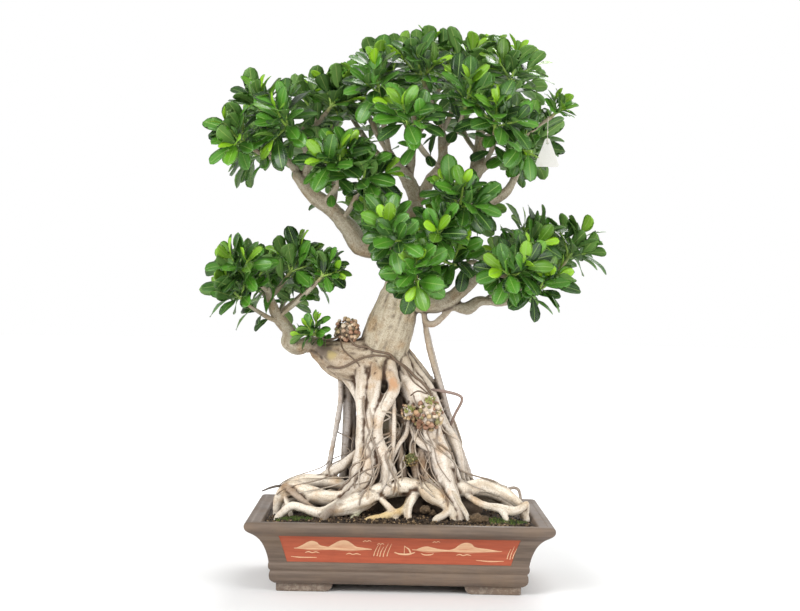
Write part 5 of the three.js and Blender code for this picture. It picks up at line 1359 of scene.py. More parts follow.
slip = []
reeds = [[[foot, 68 + foot % 3, 0.9], [foot + 2, 78, 0.7], [foot + 6 + foot % 4, 88 + foot % 7, 0.3]]
         for foot in REED_FEET]
for front, strokes, hills in ((-1, STROKES + reeds, HILLS), (1, reeds, HILLS[1:3])):
    for stroke in strokes:
        route = [[across, 0, height, size] for across, height, size in stroke]
        points, faces = tube(*curve_through(route, 1.2 * MM)[:2], 8)
        slip.append((brushed(points / MM, front), faces, np.full(len(points), 0.9)))
    for ridge in hills:
        place, _, _ = curve_through([[across, 0, height, 1] for across, height in ridge], 2 * MM)
        rows = np.linspace(0, 1, 7)[:, None]
        foot_line = 82 - 4 * np.sin(np.linspace(0, math.pi, len(place)))[None]
        height = rows * place[None, :, 2] / MM + (1 - rows) * foot_line
        across = front * -place[None, :, 0] / MM + 0 * rows
        closed = 1 - (2 * np.linspace(0, 1, len(place))[None] - 1)**8
        lift = 0.12 + SLIP_HEIGHT * 0.55 * rows**2 * (1 - rows**14) * closed
        outer = np.stack([across, front * (panel_depth(height) + lift), height], -1)
        inner = np.stack([across, front * (panel_depth(height) - 0.4), height], -1)
        band = np.concatenate([outer, inner[::-1]])
        faces = grid_faces(*band.shape[:2])
        cover = grid_faces(2, band.shape[1])
        cover[:, 2:] += (len(band) - 2) * band.shape[1]
        ends = np.stack([np.arange(len(band)) * band.shape[1]] * 2) + [[0], [band.shape[1] - 1]]
        cream = np.concatenate([rows, rows[::-1]]) + 0 * band[..., 0]
        slip.append((band.reshape(-1, 3), [faces, cover, ends], 0.35 + 0.6 * cream.ravel()))
print(len(slip), "strokes and hills")

# %% [markdown]
# ## Pot finish
# Unglazed clay: grey-brown, wiped in long level strokes, with fine grit, paler where edges are worn and
# with a chalky crust low down where water stands. The panel is brick-red slip and the scene on it is cream.

# %% Finish and place the pot
clay = Finish("unglazed_clay", Roughness=0.62)
spot = clay.object_place()
wiped = clay.noise(clay.stretch(spot, (9.0, 9.0, 160.0)), 1.0, 5.0, 0.6)
cloudy = clay.noise(spot, 14.0, 4.0)
grog = clay.noise(spot, 900.0, 2.0)
speck = clay.between(clay.noise(spot, 420.0, 2.0), 0.66, 0.74)
tone = clay.mix(clay.between(wiped, 0.3, 0.7), (84, 70, 59), (110, 94, 81))
tone = clay.mix(clay.between(cloudy, 0.42, 0.7, 0.0, 0.6), tone, (122, 101, 80))
tone = clay.mix(clay.times(clay.value("wear"), 0.5), tone, (132, 115, 100))
tone = clay.mix(clay.times(speck, 0.4), tone, (66, 54, 46))
height_of = clay.add("SeparateXYZ", {0: spot}, output=2)
crust_noise = clay.between(clay.noise(spot, 130.0, 5.0, 0.7), 0.46, 0.6)
crust = clay.times(clay.between(height_of, 0.006, 0.022, 0.35, 0.0), crust_noise)
tone = clay.mix(crust, tone, (176, 165, 150))
relief = clay.bump(grog, 0.0003, 0.35, clay.bump(wiped, 0.0007, 0.5))
clay_look = clay.done(Base_Color=tone, Normal=relief, Roughness=clay.between(cloudy, 0.3, 0.7, 0.5, 0.72))

panel = Finish("painted_panel", Roughness=0.5)
spot = panel.object_place()
brush_lines = panel.noise(panel.stretch(spot, (14.0, 14.0, 240.0)), 1.0, 4.0)
cloud = panel.noise(spot, 30.0, 3.0)
tone = panel.mix(panel.between(brush_lines, 0.3, 0.7), (160, 74, 46), (174, 84, 54))
red = panel.mix(panel.between(cloud, 0.5, 0.75, 0.0, 0.35), tone, (146, 68, 44))
panel_look = panel.done(Base_Color=red, Normal=panel.bump(brush_lines, 0.0004, 0.4))

cream = Finish("cream_slip", Roughness=0.45)
spot = cream.object_place()
dabs = cream.noise(cream.stretch(spot, (60.0, 60.0, 220.0)), 1.0, 4.0)
thick_slip = cream.times(cream.value("cream"), cream.between(dabs, 0.25, 0.6, 0.72, 1.0))
tone = cream.mix(thick_slip, (170, 82, 52), (228, 192, 152))
cream_look = cream.done(Base_Color=tone, Normal=cream.bump(dabs, 0.0005, 0.6))

bare = read(bored.vertices, "co", 3, np.float32)
to_wall = np.minimum(POT_LENGTH / 2 - np.abs(bare[:, 0]) / MM, POT_DEPTH / 2 - np.abs(bare[:, 1]) / MM)
way = np.diff(wall, axis=0)
slope = np.arctan2(way[:, 1], way[:, 0])
turned = np.abs((np.diff(slope) + math.pi) % (2 * math.pi) - math.pi)
row_wear = np.convolve(np.concatenate([[0], turned, [0]]), [0.5, 1, 0.5], "same")
nearest = [np.argmin((wall[:, 0] - inset)**2 + (wall[:, 1] - high)**2)
           for inset, high in zip(to_wall, bare[:, 2] / MM, strict=True)]
wear = np.clip(row_wear[nearest] * 0.9, 0, 1)
bored.attributes.new("wear", "FLOAT", "POINT").data.foreach_set("value", wear)

extras = Skin()
for sign in ((-1, -1), (1, -1), (-1, 1), (1, 1)):
    points, faces = foot(sign)
    extras.add(points * MM, faces, [0, 0], wear=0.25, cream=0.0)
for points, faces, pale in slip:
    extras.add(points * MM, faces, [2] * len(faces), wear=0.0, cream=pale)
body = bmesh.new()
body.from_mesh(bored)
body.from_mesh(extras.mesh("feet_and_slip"))
bmesh.ops.recalc_face_normals(body, faces=body.faces)
pot_mesh = bpy.data.meshes.new("pot_body")
body.to_mesh(pot_mesh)
body.free()
pot_mesh.set_sharp_from_angle(angle=math.radians(32))
place_piece(pot_mesh, "pot_body", [clay_look, panel_look, cream_look], "clay", "pot")

# %% [markdown]
# ## Soil
# The soil is a bed of fired clay grains and bark crumbs, heaped under the roots. Its top is one sheet with
# small humps, closed by a skirt and a bottom inside the pot. Loose grains lie on it, most of them along the
# front, where they show. Each is one twenty-sided stone, squeezed and turned by its own numbers.

# %% Lay the soil
SOIL_EDGE, SOIL_HEAP, SOIL_GAP = 121, 3.5, 0.4
GRAINS = 3600
GRAIN_SIZES = (1.2, 4.2)


def soil_height(x, y):
    """Height of the soil over the ground, in millimetres."""
    heap = np.clip((1 - (x / 250)**2) * (1 - (y / 170)**2), 0, 1)
    return SOIL_EDGE + heap**0.6 * (7 + SOIL_HEAP + 2.5 * np.sin(0.043 * x + 0.6) * np.cos(0.061 * y))


def crumbled(x, y):
    """The same height with humps of a few millimetres."""
    flat = np.stack([x, y, 0 * x], -1)
    return soil_height(x, y) + 1.5 * rough(flat, 26.0, 2, 41) + 1.1 * np.abs(rough(flat, 6.0, 2, 42))


across, deep = np.meshgrid(np.linspace(-1, 1, 190), np.linspace(-1, 1, 128))
inset_inside, level_inside = wall[::-1][:len(wall) // 2].T
inner = np.interp(SOIL_EDGE, level_inside, inset_inside) + SOIL_GAP
x, y = across * (POT_LENGTH / 2 - inner), deep * (POT_DEPTH / 2 - inner)
top = np.stack([x, y, crumbled(x, y)], -1)
rows, columns = x.shape
number = np.arange(rows * columns).reshape(rows, columns)
border = np.concatenate([number[0], number[1:, -1], number[-1, -2::-1], number[-2:0:-1, 0]])
skirt = []
for level in (118, 90, FLOOR_TOP + 2):
    inset = np.interp(level, level_inside, inset_inside) + SOIL_GAP
    limit = np.array([POT_LENGTH / 2 - inset, POT_DEPTH / 2 - inset])
    flat = np.stack([x.ravel()[border] / x.max() * limit[0], y.ravel()[border] / y.max() * limit[1]], -1)
    skirt.append(np.c_[flat, np.full(len(flat), level)])
total = rows * columns
side_rings = [border] + [total + number * len(border) + np.arange(len(border)) for number in range(3)]
sides = [np.stack([a, b, np.roll(b, -1), np.roll(a, -1)], -1)
         for a, b in zip(side_rings[:-1], side_rings[1:], strict=True)]
soil = Skin()
soil.add(np.vstack([top.reshape(-1, 3), *skirt]) * MM,
         [grid_faces(rows, columns), *sides, side_rings[-1][None, ::-1]], mossy=0.0, pale=0.0)
print(rows * columns, "points on top")

# %% [markdown]
# Moss grows in two cushions at the front. Each is hundreds of short pointed shoots that lean at random. A
# lump of peat and a knot of old fibre lie beside them.

# %% Strew grains, moss and lumps
MOSS = {"left": (-195, -112, 34, 8), "right": (196, -104, 44, 12), "behind": (150, -96, 20, 8)}
MOSS_SHOOTS = 420
LUMPS = [(142, -114, 133, 13), (156, -108, 131, 9), (48, -92, 146, 9), (60, -88, 140, 7)]

golden = (1 + 5**0.5) / 2
corner = np.array([[-1, golden, 0], [1, golden, 0], [-1, -golden, 0], [1, -golden, 0]])
stone = unit(np.vstack([corner, np.roll(corner, 1, 1), np.roll(corner, 2, 1)]).astype(float))
stone_faces = np.array([
    [0, 11, 5], [0, 5, 1], [0, 1, 7], [0, 7, 10], [0, 10, 11], [1, 5, 9], [5, 11, 4], [11, 10, 2], [10, 7, 6],
    [7, 1, 8], [3, 9, 4], [3, 4, 2], [3, 2, 6], [3, 6, 8], [3, 8, 9], [4, 9, 5], [2, 4, 11], [6, 2, 10],
    [8, 6, 7], [9, 8, 1],
])
dice = np.random.default_rng(7)
x = dice.uniform(-244, 244, GRAINS)
y = np.where(np.arange(GRAINS) % 3 > 0, -166 + 90 * dice.random(GRAINS)**1.3, dice.uniform(-160, 160, GRAINS))
size = GRAIN_SIZES[0] + (GRAIN_SIZES[1] - GRAIN_SIZES[0]) * dice.random(GRAINS)**2.2
squeeze = 1 + 0.5 * (dice.random((GRAINS, 12, 1)) - 0.5)
spin = unit(dice.normal(size=(GRAINS, 3)))
flatten = 1 - 0.35 * np.abs(stone @ spin.T).T[..., None]
place = np.stack([x, y, crumbled(x, y) + 0.45 * size], -1)
grains = place[:, None] + size[:, None, None] * squeeze * flatten * stone
pale = np.repeat(dice.random(GRAINS)**2, 12)
soil.add(grains.reshape(-1, 3) * MM, [repeated(stone_faces, GRAINS, 12)], mossy=0.0, pale=pale)
round_points, round_faces = ball(16, 24)
for *spot, radius in LUMPS:
    bumpy = radius * (1 + 0.28 * rough(round_points, 0.5, 3, int(radius)))
    lump = spot + bumpy[:, None] * round_points * [1.15, 1, 0.85]
    soil.add(lump * MM, round_faces, mossy=0.0, pale=0.55)

shoot_faces = np.array([[0, 1, 3], [1, 2, 3], [2, 0, 3], [2, 1, 0]])
for x0, y0, reach, depth in MOSS.values():
    turn, far = dice.uniform(0, 2 * math.pi, MOSS_SHOOTS), np.sqrt(dice.random(MOSS_SHOOTS))
    x, y = x0 + reach * far * np.cos(turn), y0 + depth * 2 * far * np.sin(turn)
    foot_point = np.stack([x, y, crumbled(x, y) - 1], -1)
    height = (3 + 4.5 * dice.random(MOSS_SHOOTS)) * (1.15 - 0.5 * far**2) + 2.5
    lean_x, lean_y = 2 * dice.normal(size=(2, MOSS_SHOOTS))
    tip_point = foot_point + np.stack([lean_x, lean_y, height], -1)
    three = turn[:, None] + np.array([0, 2.094, 4.189])
    base_ring = foot_point[:, None] + 1.5 * np.stack([np.cos(three), np.sin(three), 0 * three], -1)
    shoots = np.concatenate([base_ring, tip_point[:, None]], 1)
    soil.add(shoots.reshape(-1, 3) * MM, [repeated(shoot_faces, MOSS_SHOOTS, 4)], mossy=1.0,
             pale=np.repeat(dice.random(MOSS_SHOOTS), 4))

earth = Finish("soil_and_moss", Roughness=0.9)
spot = earth.object_place()
crumb = earth.cells(spot, 330.0)
damp = earth.noise(spot, 45.0, 4.0)
tone = earth.mix(earth.between(damp, 0.35, 0.65), (40, 30, 22), (84, 66, 48))
tone = earth.mix(earth.between(earth.value("pale"), 0.3, 0.95), tone, (168, 140, 104))
tone = earth.mix(earth.between(crumb, 0.25, 0.6, 0.0, 0.5), tone, (30, 22, 16))
green = earth.mix(earth.value("pale"), (34, 56, 20), (104, 122, 48))
tone = earth.mix(earth.value("mossy"), tone, green)
earth_look = earth.done(Base_Color=tone, Normal=earth.bump(crumb, 0.0012, 0.7))
place_piece(soil.mesh("soil_bed"), "soil_bed", [earth_look], "earth", "soil")

# %% [markdown]
# ## Screens
# A square of net lies over each drain hole, so the soil stays in. Its wires pass over and under each other:
# each is a thin tube on a wave, and the waves of neighbours are opposite.

# %% Weave the two screens
SCREEN_SIDE, SCREEN_WIRES, WIRE_RADIUS = 56, 15, 0.3
NET_LEVEL, WIRE_SWING = FLOOR_TOP + 1.05, 0.36

net_black = Finish("plastic_net", Roughness=0.45)
dust = net_black.noise(net_black.object_place(), 300.0, 4.0)
tone = net_black.mix(net_black.between(dust, 0.45, 0.7), (26, 28, 27), (92, 84, 72))
net_look = net_black.done(Base_Color=tone, Normal=net_black.bump(dust, 0.0002, 0.4))
steps = np.linspace(-SCREEN_SIDE / 2, SCREEN_SIDE / 2, SCREEN_WIRES * 2 + 1)
pitch = SCREEN_SIDE / SCREEN_WIRES
for name, place_x in (("screen_left", -DRAIN_PLACE), ("screen_right", DRAIN_PLACE)):
    net = Skin()
    for wire in range(SCREEN_WIRES):
        across = (wire + 0.5) * pitch - SCREEN_SIDE / 2
        wave = NET_LEVEL + WIRE_SWING * np.cos(math.pi * steps / pitch + math.pi * wire)
        for swap in (False, True):
            lift = 2 * NET_LEVEL - wave if swap else wave
            flat = (across + 0 * steps, steps) if swap else (steps, across + 0 * steps)
            line = np.stack([flat[0] + place_x, flat[1], lift], -1) * MM
            net.add(*tube(line, np.full(len(line), WIRE_RADIUS * MM), 6))
    place_piece(net.mesh(name + "_net"), name + "_net", [net_look], "netting", name)

# %% [markdown]
# ## Tag and thread
# A small card hangs from a twig on the right, as at a show. It is bare here. It is a sheet with the eye
# punched through, a little curled by the damp. The thread is two plies twisted together, tied in a loop
# over the twig.

# %% Cut the card
HANG_POINT = (263.3, -71.7, 877.6)
CARD_FOOT, CARD_THICKNESS = 788.6, 0.8
CARD_TOP = 53
CARD_OUTLINE = [[0, 19.5], [4, 22.5], [CARD_TOP, 4]]
EYE_HEIGHT, EYE_RADIUS = 832.6, 1.8

high_rows = CARD_TOP - np.array([0.8, 0.2, 0])
high = np.concatenate([[0, 0.6, 1.4, 2.6, 4], np.linspace(6, 51, 20), high_rows])[:, None]
half = np.interp(high, *np.array(CARD_OUTLINE, float).T) - np.maximum(0, 1.2 - (CARD_TOP - high)) * 0.9
across = np.linspace(-1, 1, 15)[None] * half
curl = 0.9 * (across / 22)**2 + 0.5 * np.sin(high / 17) + 0.25 * np.sin(across / 7 + high / 9)
flat = np.stack([across, curl - CARD_THICKNESS / 2, high + 0 * across], -1)
front_face = flat + [HANG_POINT[0], HANG_POINT[1], CARD_FOOT]
back_face = front_face[:, ::-1] + [0, CARD_THICKNESS, 0]
card = Skin()
loop_sheet = np.concatenate([front_face, back_face], 1)
rows, columns = loop_sheet.shape[:2]
strip = np.arange(columns // 2 - 1)
low_cap = np.stack([strip, strip + 1, columns - 2 - strip, columns - 1 - strip], -1)
high_cap = low_cap + (rows - 1) * columns
card.add(loop_sheet.reshape(-1, 3) * MM, [grid_faces(rows, columns, True), low_cap[:, ::-1], high_cap])
angle = np.linspace(0, 2 * math.pi, 32, endpoint=False)
ring = np.stack([HANG_POINT[0] + EYE_RADIUS * np.cos(angle), EYE_HEIGHT + EYE_RADIUS * np.sin(angle)], -1)
post = [np.stack([ring[:, 0], HANG_POINT[1] + side + 0 * angle, ring[:, 1]], -1) for side in (4, -4)]
punched = with_holes(card.mesh("card", smooth=False), [post], 1)

paper = Finish("bare_card", Roughness=0.7)
spot = paper.object_place()
fibre = paper.noise(paper.stretch(spot, (1.0, 1.0, 3.0)), 900.0, 4.0)
stain = paper.noise(spot, 70.0, 3.0)
tone = paper.mix(paper.between(fibre, 0.35, 0.65), (214, 212, 206), (226, 224, 219))
tone = paper.mix(paper.between(stain, 0.55, 0.75, 0.0, 0.4), tone, (204, 197, 180))
card_look = paper.done(Base_Color=tone, Normal=paper.bump(fibre, 0.0002, 0.4))
punched.set_sharp_from_angle(angle=math.radians(40))
place_piece(punched, "tag_card", [card_look], "card", "tag")

# %% Twist the thread
TWIG_RADIUS, THREAD_RADIUS, TWIST_PITCH = 3.81, 0.6, 3.2
KNOT_DROP, KNOT_RADIUS = 24, 1.5

top = 1.2 * TWIG_RADIUS + THREAD_RADIUS + 0.3
half_loop = [
    [0, top], [0.7 * top, 0.7 * top], [top, 0], [2.4, -1.8 * top], [0.95, -24], [1.7, -37], [1.5, -43],
    [0, -46],
]
other_half = [[-side, level] for side, level in half_loop[-2:0:-1]]
hang = np.array(HANG_POINT)
loop = [[*(hang + [0, side, level]), 1] for side, level in half_loop + other_half]
middle, _, far = curve_through([*loop, loop[0]], 0.4 * MM)
ahead, east, north = frame_along(middle)
cotton = Skin()
for ply in range(2):
    swing = (2 * math.pi * far / (TWIST_PITCH * MM) + math.pi * ply)[:, None]
    ply_line = middle + 0.5 * THREAD_RADIUS * MM * (np.cos(swing) * east + np.sin(swing) * north)
    cotton.add(*tube(ply_line, np.full(len(ply_line), 0.52 * THREAD_RADIUS * MM), 6))
knot_points, knot_faces = ball(10, 14)
knot = KNOT_RADIUS * (1 + 0.2 * rough(knot_points, 0.6, 2, 3))[:, None] * knot_points
cotton.add((hang - [0, 0, KNOT_DROP] + knot) * MM, knot_faces)
thread = Finish("cotton_thread", Roughness=0.8)
fuzz = thread.noise(thread.object_place(), 1400.0, 4.0)
tone = thread.mix(thread.between(fuzz, 0.35, 0.65), (214, 206, 190), (240, 234, 222))
thread_look = thread.done(Base_Color=tone, Normal=thread.bump(fuzz, 0.0001, 0.5))
place_piece(cotton.mesh("twisted_thread"), "twisted_thread", [thread_look], "cotton", "tag_thread")

# %% [markdown]
# ## Leafy sprays
# This ficus grows its leaves one by one round each soft shoot, each a golden angle further on than the
# last. Old leaves lower down lean out and hang, and young ones stand up at the tip. A spray is a leader
# that carries on from its twig and two side shoots. One rule grows all the leaves: each spray, shoot and
# leaf draws its own numbers from its indices.

# %% Grow the shoots
UP = np.array([0.0, 0.0, 1.0])
LEAF_LENGTH = 60
LEAVES_PER_SHOOT = 10
WEAK = {"right_6": 0.6, "tuft": 0.55, "low_left_5": 0.65, "low_left_4": 0.8}


def draw(spray, shoot, use):
    """A number from 0 to 1 that is always the same for the same indices.

    Formula: the fraction of 43758.5453 sin(12.9898 spray + 78.233 shoot + 37.719 use).
    """
    wave = np.sin(spray * 12.9898 + shoot * 78.233 + use * 37.719) * 43758.5453
    return wave - np.floor(wave)


twig_ends = np.array([route[-1] for route in SPRAYS.values()], float)
before = np.array([route[-2] for route in SPRAYS.values()], float)
s, n = np.arange(len(SPRAYS))[:, None], np.arange(3)[None]
vigour = np.array([WEAK.get(name, 1) for name in SPRAYS])[:, None]
end = twig_ends[:, None, :3]
ahead = unit(end - before[:, None, :3])
east = unit(np.cross(ahead, UP))
north = np.cross(east, ahead)
round_turn = (2 * math.pi * draw(s, 0, 2) + math.pi * n + 0.8 * draw(s, n, 3))[..., None]
aside = 0.85 * (east * np.cos(round_turn) + north * np.sin(round_turn)) * (n > 0)[..., None]
course = unit(ahead * np.where(n > 0, 0.45, 0.85)[..., None] + aside + 0.35 * UP)
reach = (vigour * (np.where(n > 0, 34, 38) + 16 * draw(s, n, 4)))[..., None]
start = end + ahead * (vigour * (10 + 6 * draw(s, 0, 1)))[..., None]
bow = ahead * 0.11 * reach + course * 0.36 * reach
fork = blend(end, (start + bow)[:, :1], 0.45)
start = np.where((n > 0)[..., None], fork, start)
middle = start + bow
tip = start + course * reach + 5 * vigour[..., None] * UP
fork = fork + 0 * tip
print(tip.shape[0] * tip.shape[1], "shoots")

# %% [markdown]
# Each leaf stands where its age puts it on the shoot. It leans out with age, and its upper face turns to
# the light, which comes from above and from outside the crown.

# %% Place the leaves
CROWN_HEART, CROWN_REACH = np.array([0, 0, 640]), np.array([420, 160, 420])


def turned_to_light(base, axis, turn, lean, own_light, swerve):
    """Headings and upper faces of leaves that lean out from an axis at a turn round it.

    Formula: the light comes from (base - heart) / reach, plus its own light and a swerve to the side.
    """
    east = unit(np.cross(axis, UP))
    out = east * np.cos(turn) + np.cross(east, axis) * np.sin(turn)
    heading = unit(axis * np.cos(lean) + out * np.sin(lean))
    light = (base - CROWN_HEART) / CROWN_REACH + own_light + east * swerve
    return heading, unit(light - heading * (light * heading).sum(-1, keepdims=True))


k = np.arange(LEAVES_PER_SHOOT)[None, None]
s3, n3 = s[..., None], n[..., None]
age = k / (LEAVES_PER_SHOOT - 1)
along = (1 - 0.78 * age**1.25 + 0 * s3 + 0 * n3)[..., None]
fork_k, middle_k, tip_k = fork[:, :, None], middle[:, :, None], tip[:, :, None]
upper, lower = blend(middle_k, tip_k, 2 * along - 1), blend(fork_k, middle_k, 2 * along)
base = np.where(along > 0.5, upper, lower)
axis = unit(blend(unit(middle_k - fork_k), unit(tip_k - middle_k), along))
round_leaf = (k * GOLDEN_ANGLE + 2 * math.pi * draw(s3, n3, 5))[..., None]
lean = (0.45 + 0.85 * age + 0.3 * (draw(s3, n3, 10 + k) - 0.5))[..., None]
swerve = 1.2 * (draw(s3, n3, 50 + k) - 0.5)[..., None]
heading, face = turned_to_light(base, axis, round_leaf, lean, axis * 0.3 + UP * 0.4, swerve)
young = np.maximum(0, 1 - k / 3) + 0 * s3 + 0 * n3
leaf_length = LEAF_LENGTH * (0.9 + 0.25 * draw(s3, n3, 30 + k)) * (1 - 0.35 * young) * vigour[..., None]
young = young * (draw(s3, n3, 60) > 0.3)
print(leaf_length.size, "leaves", np.round([leaf_length.min(), leaf_length.max()]), "mm long")

# %% [markdown]
# The twigs below the soft shoots are not bare. Older leaves stand along them and close the inside of the
# crown. They follow the same rule, with a place on the twig instead of on a shoot.

# %% Add leaves along the twigs
TWIG_LEAVES = 7

share = 0.30 + 0.66 * np.arange(TWIG_LEAVES) / (TWIG_LEAVES - 1)
routes = [np.array(route, float) for route in SPRAYS.values()]
on_twig = np.array([[np.interp(share * (len(r) - 1), np.arange(len(r)), r[:, axis]) for axis in range(3)]
                    for r in routes]).transpose(0, 2, 1)
m = np.arange(TWIG_LEAVES)[None]
turn_t = (m * GOLDEN_ANGLE + 2 * math.pi * draw(s, 4, 5))[..., None]
lean_t = (1.0 + 0.35 * draw(s, 4, 10 + m))[..., None]
swerve_t = (draw(s, 4, 50 + m) - 0.5)[..., None]
heading_t, face_t = turned_to_light(on_twig, ahead + 0 * on_twig, turn_t, lean_t, UP * 0.8, swerve_t)
length_t = LEAF_LENGTH * (0.62 + 0.4 * draw(s, 4, 30 + m)) * vigour


def with_twig_leaves(of_shoots, of_twigs):
    """All leaves of a spray in one row: those of its three shoots, then those of its twig."""
    rows = of_shoots.reshape(len(SPRAYS), 3 * LEAVES_PER_SHOOT, *of_twigs.shape[2:])
    return np.concatenate([rows, of_twigs], 1)


base = with_twig_leaves(base, on_twig)
heading = with_twig_leaves(heading, heading_t)
face = with_twig_leaves(face, face_t)
side = np.cross(heading, face)
leaf_length = with_twig_leaves(leaf_length, length_t)
young = with_twig_leaves(young, 0 * length_t)
print(leaf_length.size, "leaves in all")

# %% [markdown]
# ## One leaf
# The blade is a thin closed shell. Its width rises from a narrow foot to rounded shoulders and closes in a
# blunt point. It folds a little along the midrib, droops towards the end, and its edge waves. Eight points
# go round it at each of a few stations, so that over a thousand leaves stay light.

# %% Shape of a blade
STATIONS = np.array([0.0, 0.11, 0.19, 0.32, 0.5, 0.68, 0.83, 0.94, 1.0])
PETIOLE_END = 0.12
LEAF_THICKNESS = 0.45
ACROSS = np.array([-1, -0.5, 0, 0.5, 1, 0.5, 0, -0.5])
UNDER = np.array([0, 0, 0, 0, 0, 1, 1, 1])


def blade_width(t):
    """Half width as a share of the length.

    Formula: x^0.9 (1 - x)^0.5 past the petiole, scaled to 0.245 at the widest.
    """
    x = np.clip((t - PETIOLE_END + 0.02) / (1.02 - PETIOLE_END), 0, 1)
    full = x**0.9 * np.maximum(1 - x, 0)**0.5
    return np.maximum(0.016, 0.245 * full / 0.4016)


def blades(base, heading, face, side, length, wave):
    """Shells of many leaves at once, an array of leaf x station x point round it.

    Formula: foot + t length heading + across width side + lift face. The lift is length (0.12 t - 0.24 t^2)
    and a fold of 0.22 times the distance from the rib, with a wave along the edge, less the thickness
    on the underside.
    """
    t = STATIONS[None, :, None]
    length = length[:, None, None]
    half = blade_width(t)
    spread = ACROSS[None, None] * half * length
    fold = 0.22 * np.abs(spread) * (1 - 0.35 * np.abs(ACROSS)) * np.minimum(1, 6 * t)
    ripple = 0.020 * length * np.sin(9 * t + wave[:, None, None] * 6.28 + 1.5 * np.sign(ACROSS)) * ACROSS**2
    thick = np.where(t < PETIOLE_END, 2.0, 1.0) * LEAF_THICKNESS
    lift = length * (0.12 * t - 0.24 * t**2) + fold + ripple * np.minimum(1, 4 * t) - UNDER * thick
    lift = lift + (1 - UNDER) * (1 - np.abs(ACROSS)) * np.where(t < PETIOLE_END, 0.9, 0.1)
    base, heading, side, face = (way[:, None, None] for way in (base, heading, side, face))
    return base + (t * length)[..., None] * heading + spread[..., None] * side + lift[..., None] * face


ring = len(ACROSS)
shell = grid_faces(len(STATIONS), ring, True)
underside = np.isin(shell % ring, [4, 5, 6, 7, 0]).all(1)
foot = np.array([[1, 2, 6, 7], [2, 3, 5, 6]])
foot_corners = np.array([[0, 1, 7], [3, 4, 5]])
last = (len(STATIONS) - 1) * ring
print(len(shell) + 8, "faces to a leaf")

# %% [markdown]
# ## Leaf and shoot finishes
# A ficus leaf is waxy and deep green above, with a paler midrib, faint side veins and a thin pale edge.
# Underneath it is dull and lighter. The youngest leaves are yellow-green. The finish reads how far across
# the blade a point is from the flat map, and the leaf's age and its own chance shade from values kept at
# the points.

# %% Leaf finishes
YOUNG_GREEN = (140, 190, 30)


def leaf_finish(name, deep, lit, rib_colour, gloss, vein_height):
    """Green that varies from leaf to leaf and is paler on the veins, which the flat map places."""
    look = Finish(name, Roughness=gloss)
    chart = look.add("UVMap", uv_map="UVMap")
    split = look.tree.nodes.new("ShaderNodeSeparateXYZ")
    look.tree.links.new(chart, split.inputs[0])
    off_rib = look.math("ABSOLUTE", look.math("SUBTRACT", split.outputs[0], 0.5))
    slant = look.math("SUBTRACT", split.outputs[1], look.times(off_rib, 0.35))
    vein = look.between(look.math("PINGPONG", look.times(slant, 13.0), 0.5), 0.0, 0.13, 1.0, 0.0)
    rib = look.between(off_rib, 0.012, 0.035, 1.0, 0.0)
    edge = look.between(off_rib, 0.465, 0.495)
    mottle = look.noise(look.object_place(), 55.0, 3.0)
    shade = look.value("shade")
    green = look.mix(look.between(shade, 0.1, 0.9), deep, lit)
    green = look.mix(look.between(mottle, 0.35, 0.7, 0.0, 0.35), green, lit)
    green = look.mix(look.value("young"), green, YOUNG_GREEN)
    green = look.mix(look.times(vein, 0.22), green, rib_colour)
    green = look.mix(look.times(rib, 0.75), green, rib_colour)
    green = look.mix(look.times(edge, 0.45), green, rib_colour)
    relief = look.math("ADD", look.times(vein, 0.4), look.times(rib, 1.0))
    worn = look.between(mottle, 0.3, 0.75, gloss - 0.05, gloss + 0.12)
    return look.done(Base_Color=green, Roughness=worn, Normal=look.bump(relief, vein_height, 0.5))


leaf_upper = leaf_finish("leaf_upper", (10, 42, 12), (74, 130, 34), (134, 168, 82), 0.31, -0.0004)
leaf_lower = leaf_finish("leaf_lower", (66, 104, 44), (102, 142, 66), (160, 184, 104), 0.5, 0.0004)
shoot_look = Finish("green_shoot", Roughness=0.45)
grain = shoot_look.noise(shoot_look.object_place(), 180.0, 3.0)
woody = shoot_look.value("woody")
green = shoot_look.mix(shoot_look.between(grain, 0.3, 0.7), (112, 148, 52), (150, 178, 78))
brown = shoot_look.mix(shoot_look.between(grain, 0.3, 0.7), (118, 104, 74), (158, 142, 108))
green_shoot = shoot_look.done(Base_Color=shoot_look.mix(woody, green, brown),
                              Normal=shoot_look.bump(grain, 0.0004, 0.4))
print("three finishes for a spray")

# %% [markdown]
# ## Put the sprays together
# One piece holds one spray: its three shoots, each with a pointed bud, and its leaves. The few leaves that
# would hide the tag are left out.

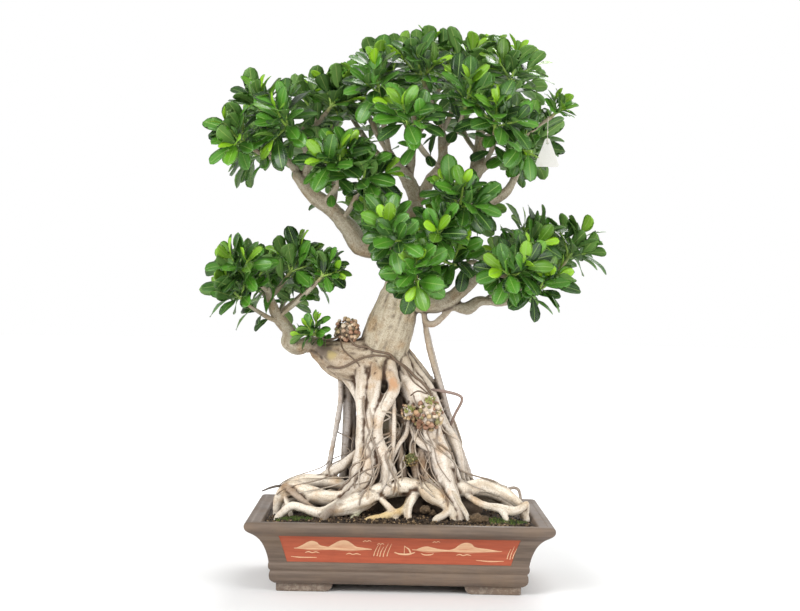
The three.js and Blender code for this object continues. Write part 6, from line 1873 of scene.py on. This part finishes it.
# %% Build the sprays
SHOOT_FOOT_GAP = 0.3
TAG_VIEW = ((228, 298), (-400, -62), (776, 880))
BLADE_POINTS = ring * len(STATIONS)
caps = [np.vstack([sheet[:, ::-1], sheet + last]) for sheet in (foot, foot_corners)]
chart = np.stack([0.5 + 0.5 * ACROSS[None] + 0 * STATIONS[:, None], STATIONS[:, None] + 0 * ACROSS[None]], -1)
blade_middle = base + 0.6 * leaf_length[..., None] * heading
hides_tag = np.all([(blade_middle[..., axis] > low) & (blade_middle[..., axis] < high)
                    for axis, (low, high) in enumerate(TAG_VIEW)], 0)
print(int(hides_tag.sum()), "leaves left out before the tag")

for number, (name, route) in enumerate(SPRAYS.items()):
    spray = Skin()
    kept = np.flatnonzero(~hides_tag[number])
    count = len(kept)
    points = blades(*(values[number, kept] for values in (base, heading, face, side, leaf_length)),
                    draw(number, 7, kept)) * MM
    sheets = [repeated(sheet, count, BLADE_POINTS) for sheet in (shell[~underside], shell[underside], *caps)]
    spray.add(points, sheets, [0, 1, 1, 1], uv=np.tile(chart.reshape(-1, 2), (count, 1)),
              shade=np.repeat(draw(number, 9, kept), BLADE_POINTS), woody=0.0,
              young=np.repeat(young[number, kept] ** 1.5, BLADE_POINTS))
    for shoot in range(3):
        foot_place = end[number, 0] + ahead[number, 0] * SHOOT_FOOT_GAP
        first = [*foot_place, route[-1][3]] if shoot == 0 else [*fork[number, shoot], 1.6]
        top = tip[number, shoot]
        bud = unit(top - middle[number, shoot])
        way = [first, [*middle[number, shoot], 2.4], [*top, 1.8], [*(top + 6 * bud), 1.7],
               [*(top + 13 * bud), 0.5]]
        place, radius, far = curve_through(way)
        points, tube_faces, distance, turn, _ = tube(place, radius, 8, far)
        spray.add(points, tube_faces, [2, 2, 2], uv=0 * points[:, :2] + 0.5, shade=0.5, young=0.0,
                  woody=np.clip(1 - distance / (22 * MM), 0, 1) if shoot == 0 else 0.0)
    place_piece(spray.mesh(name + "_leaves"), name + "_leaves", [leaf_upper, leaf_lower, green_shoot], "leaf",
                "spray_" + name)
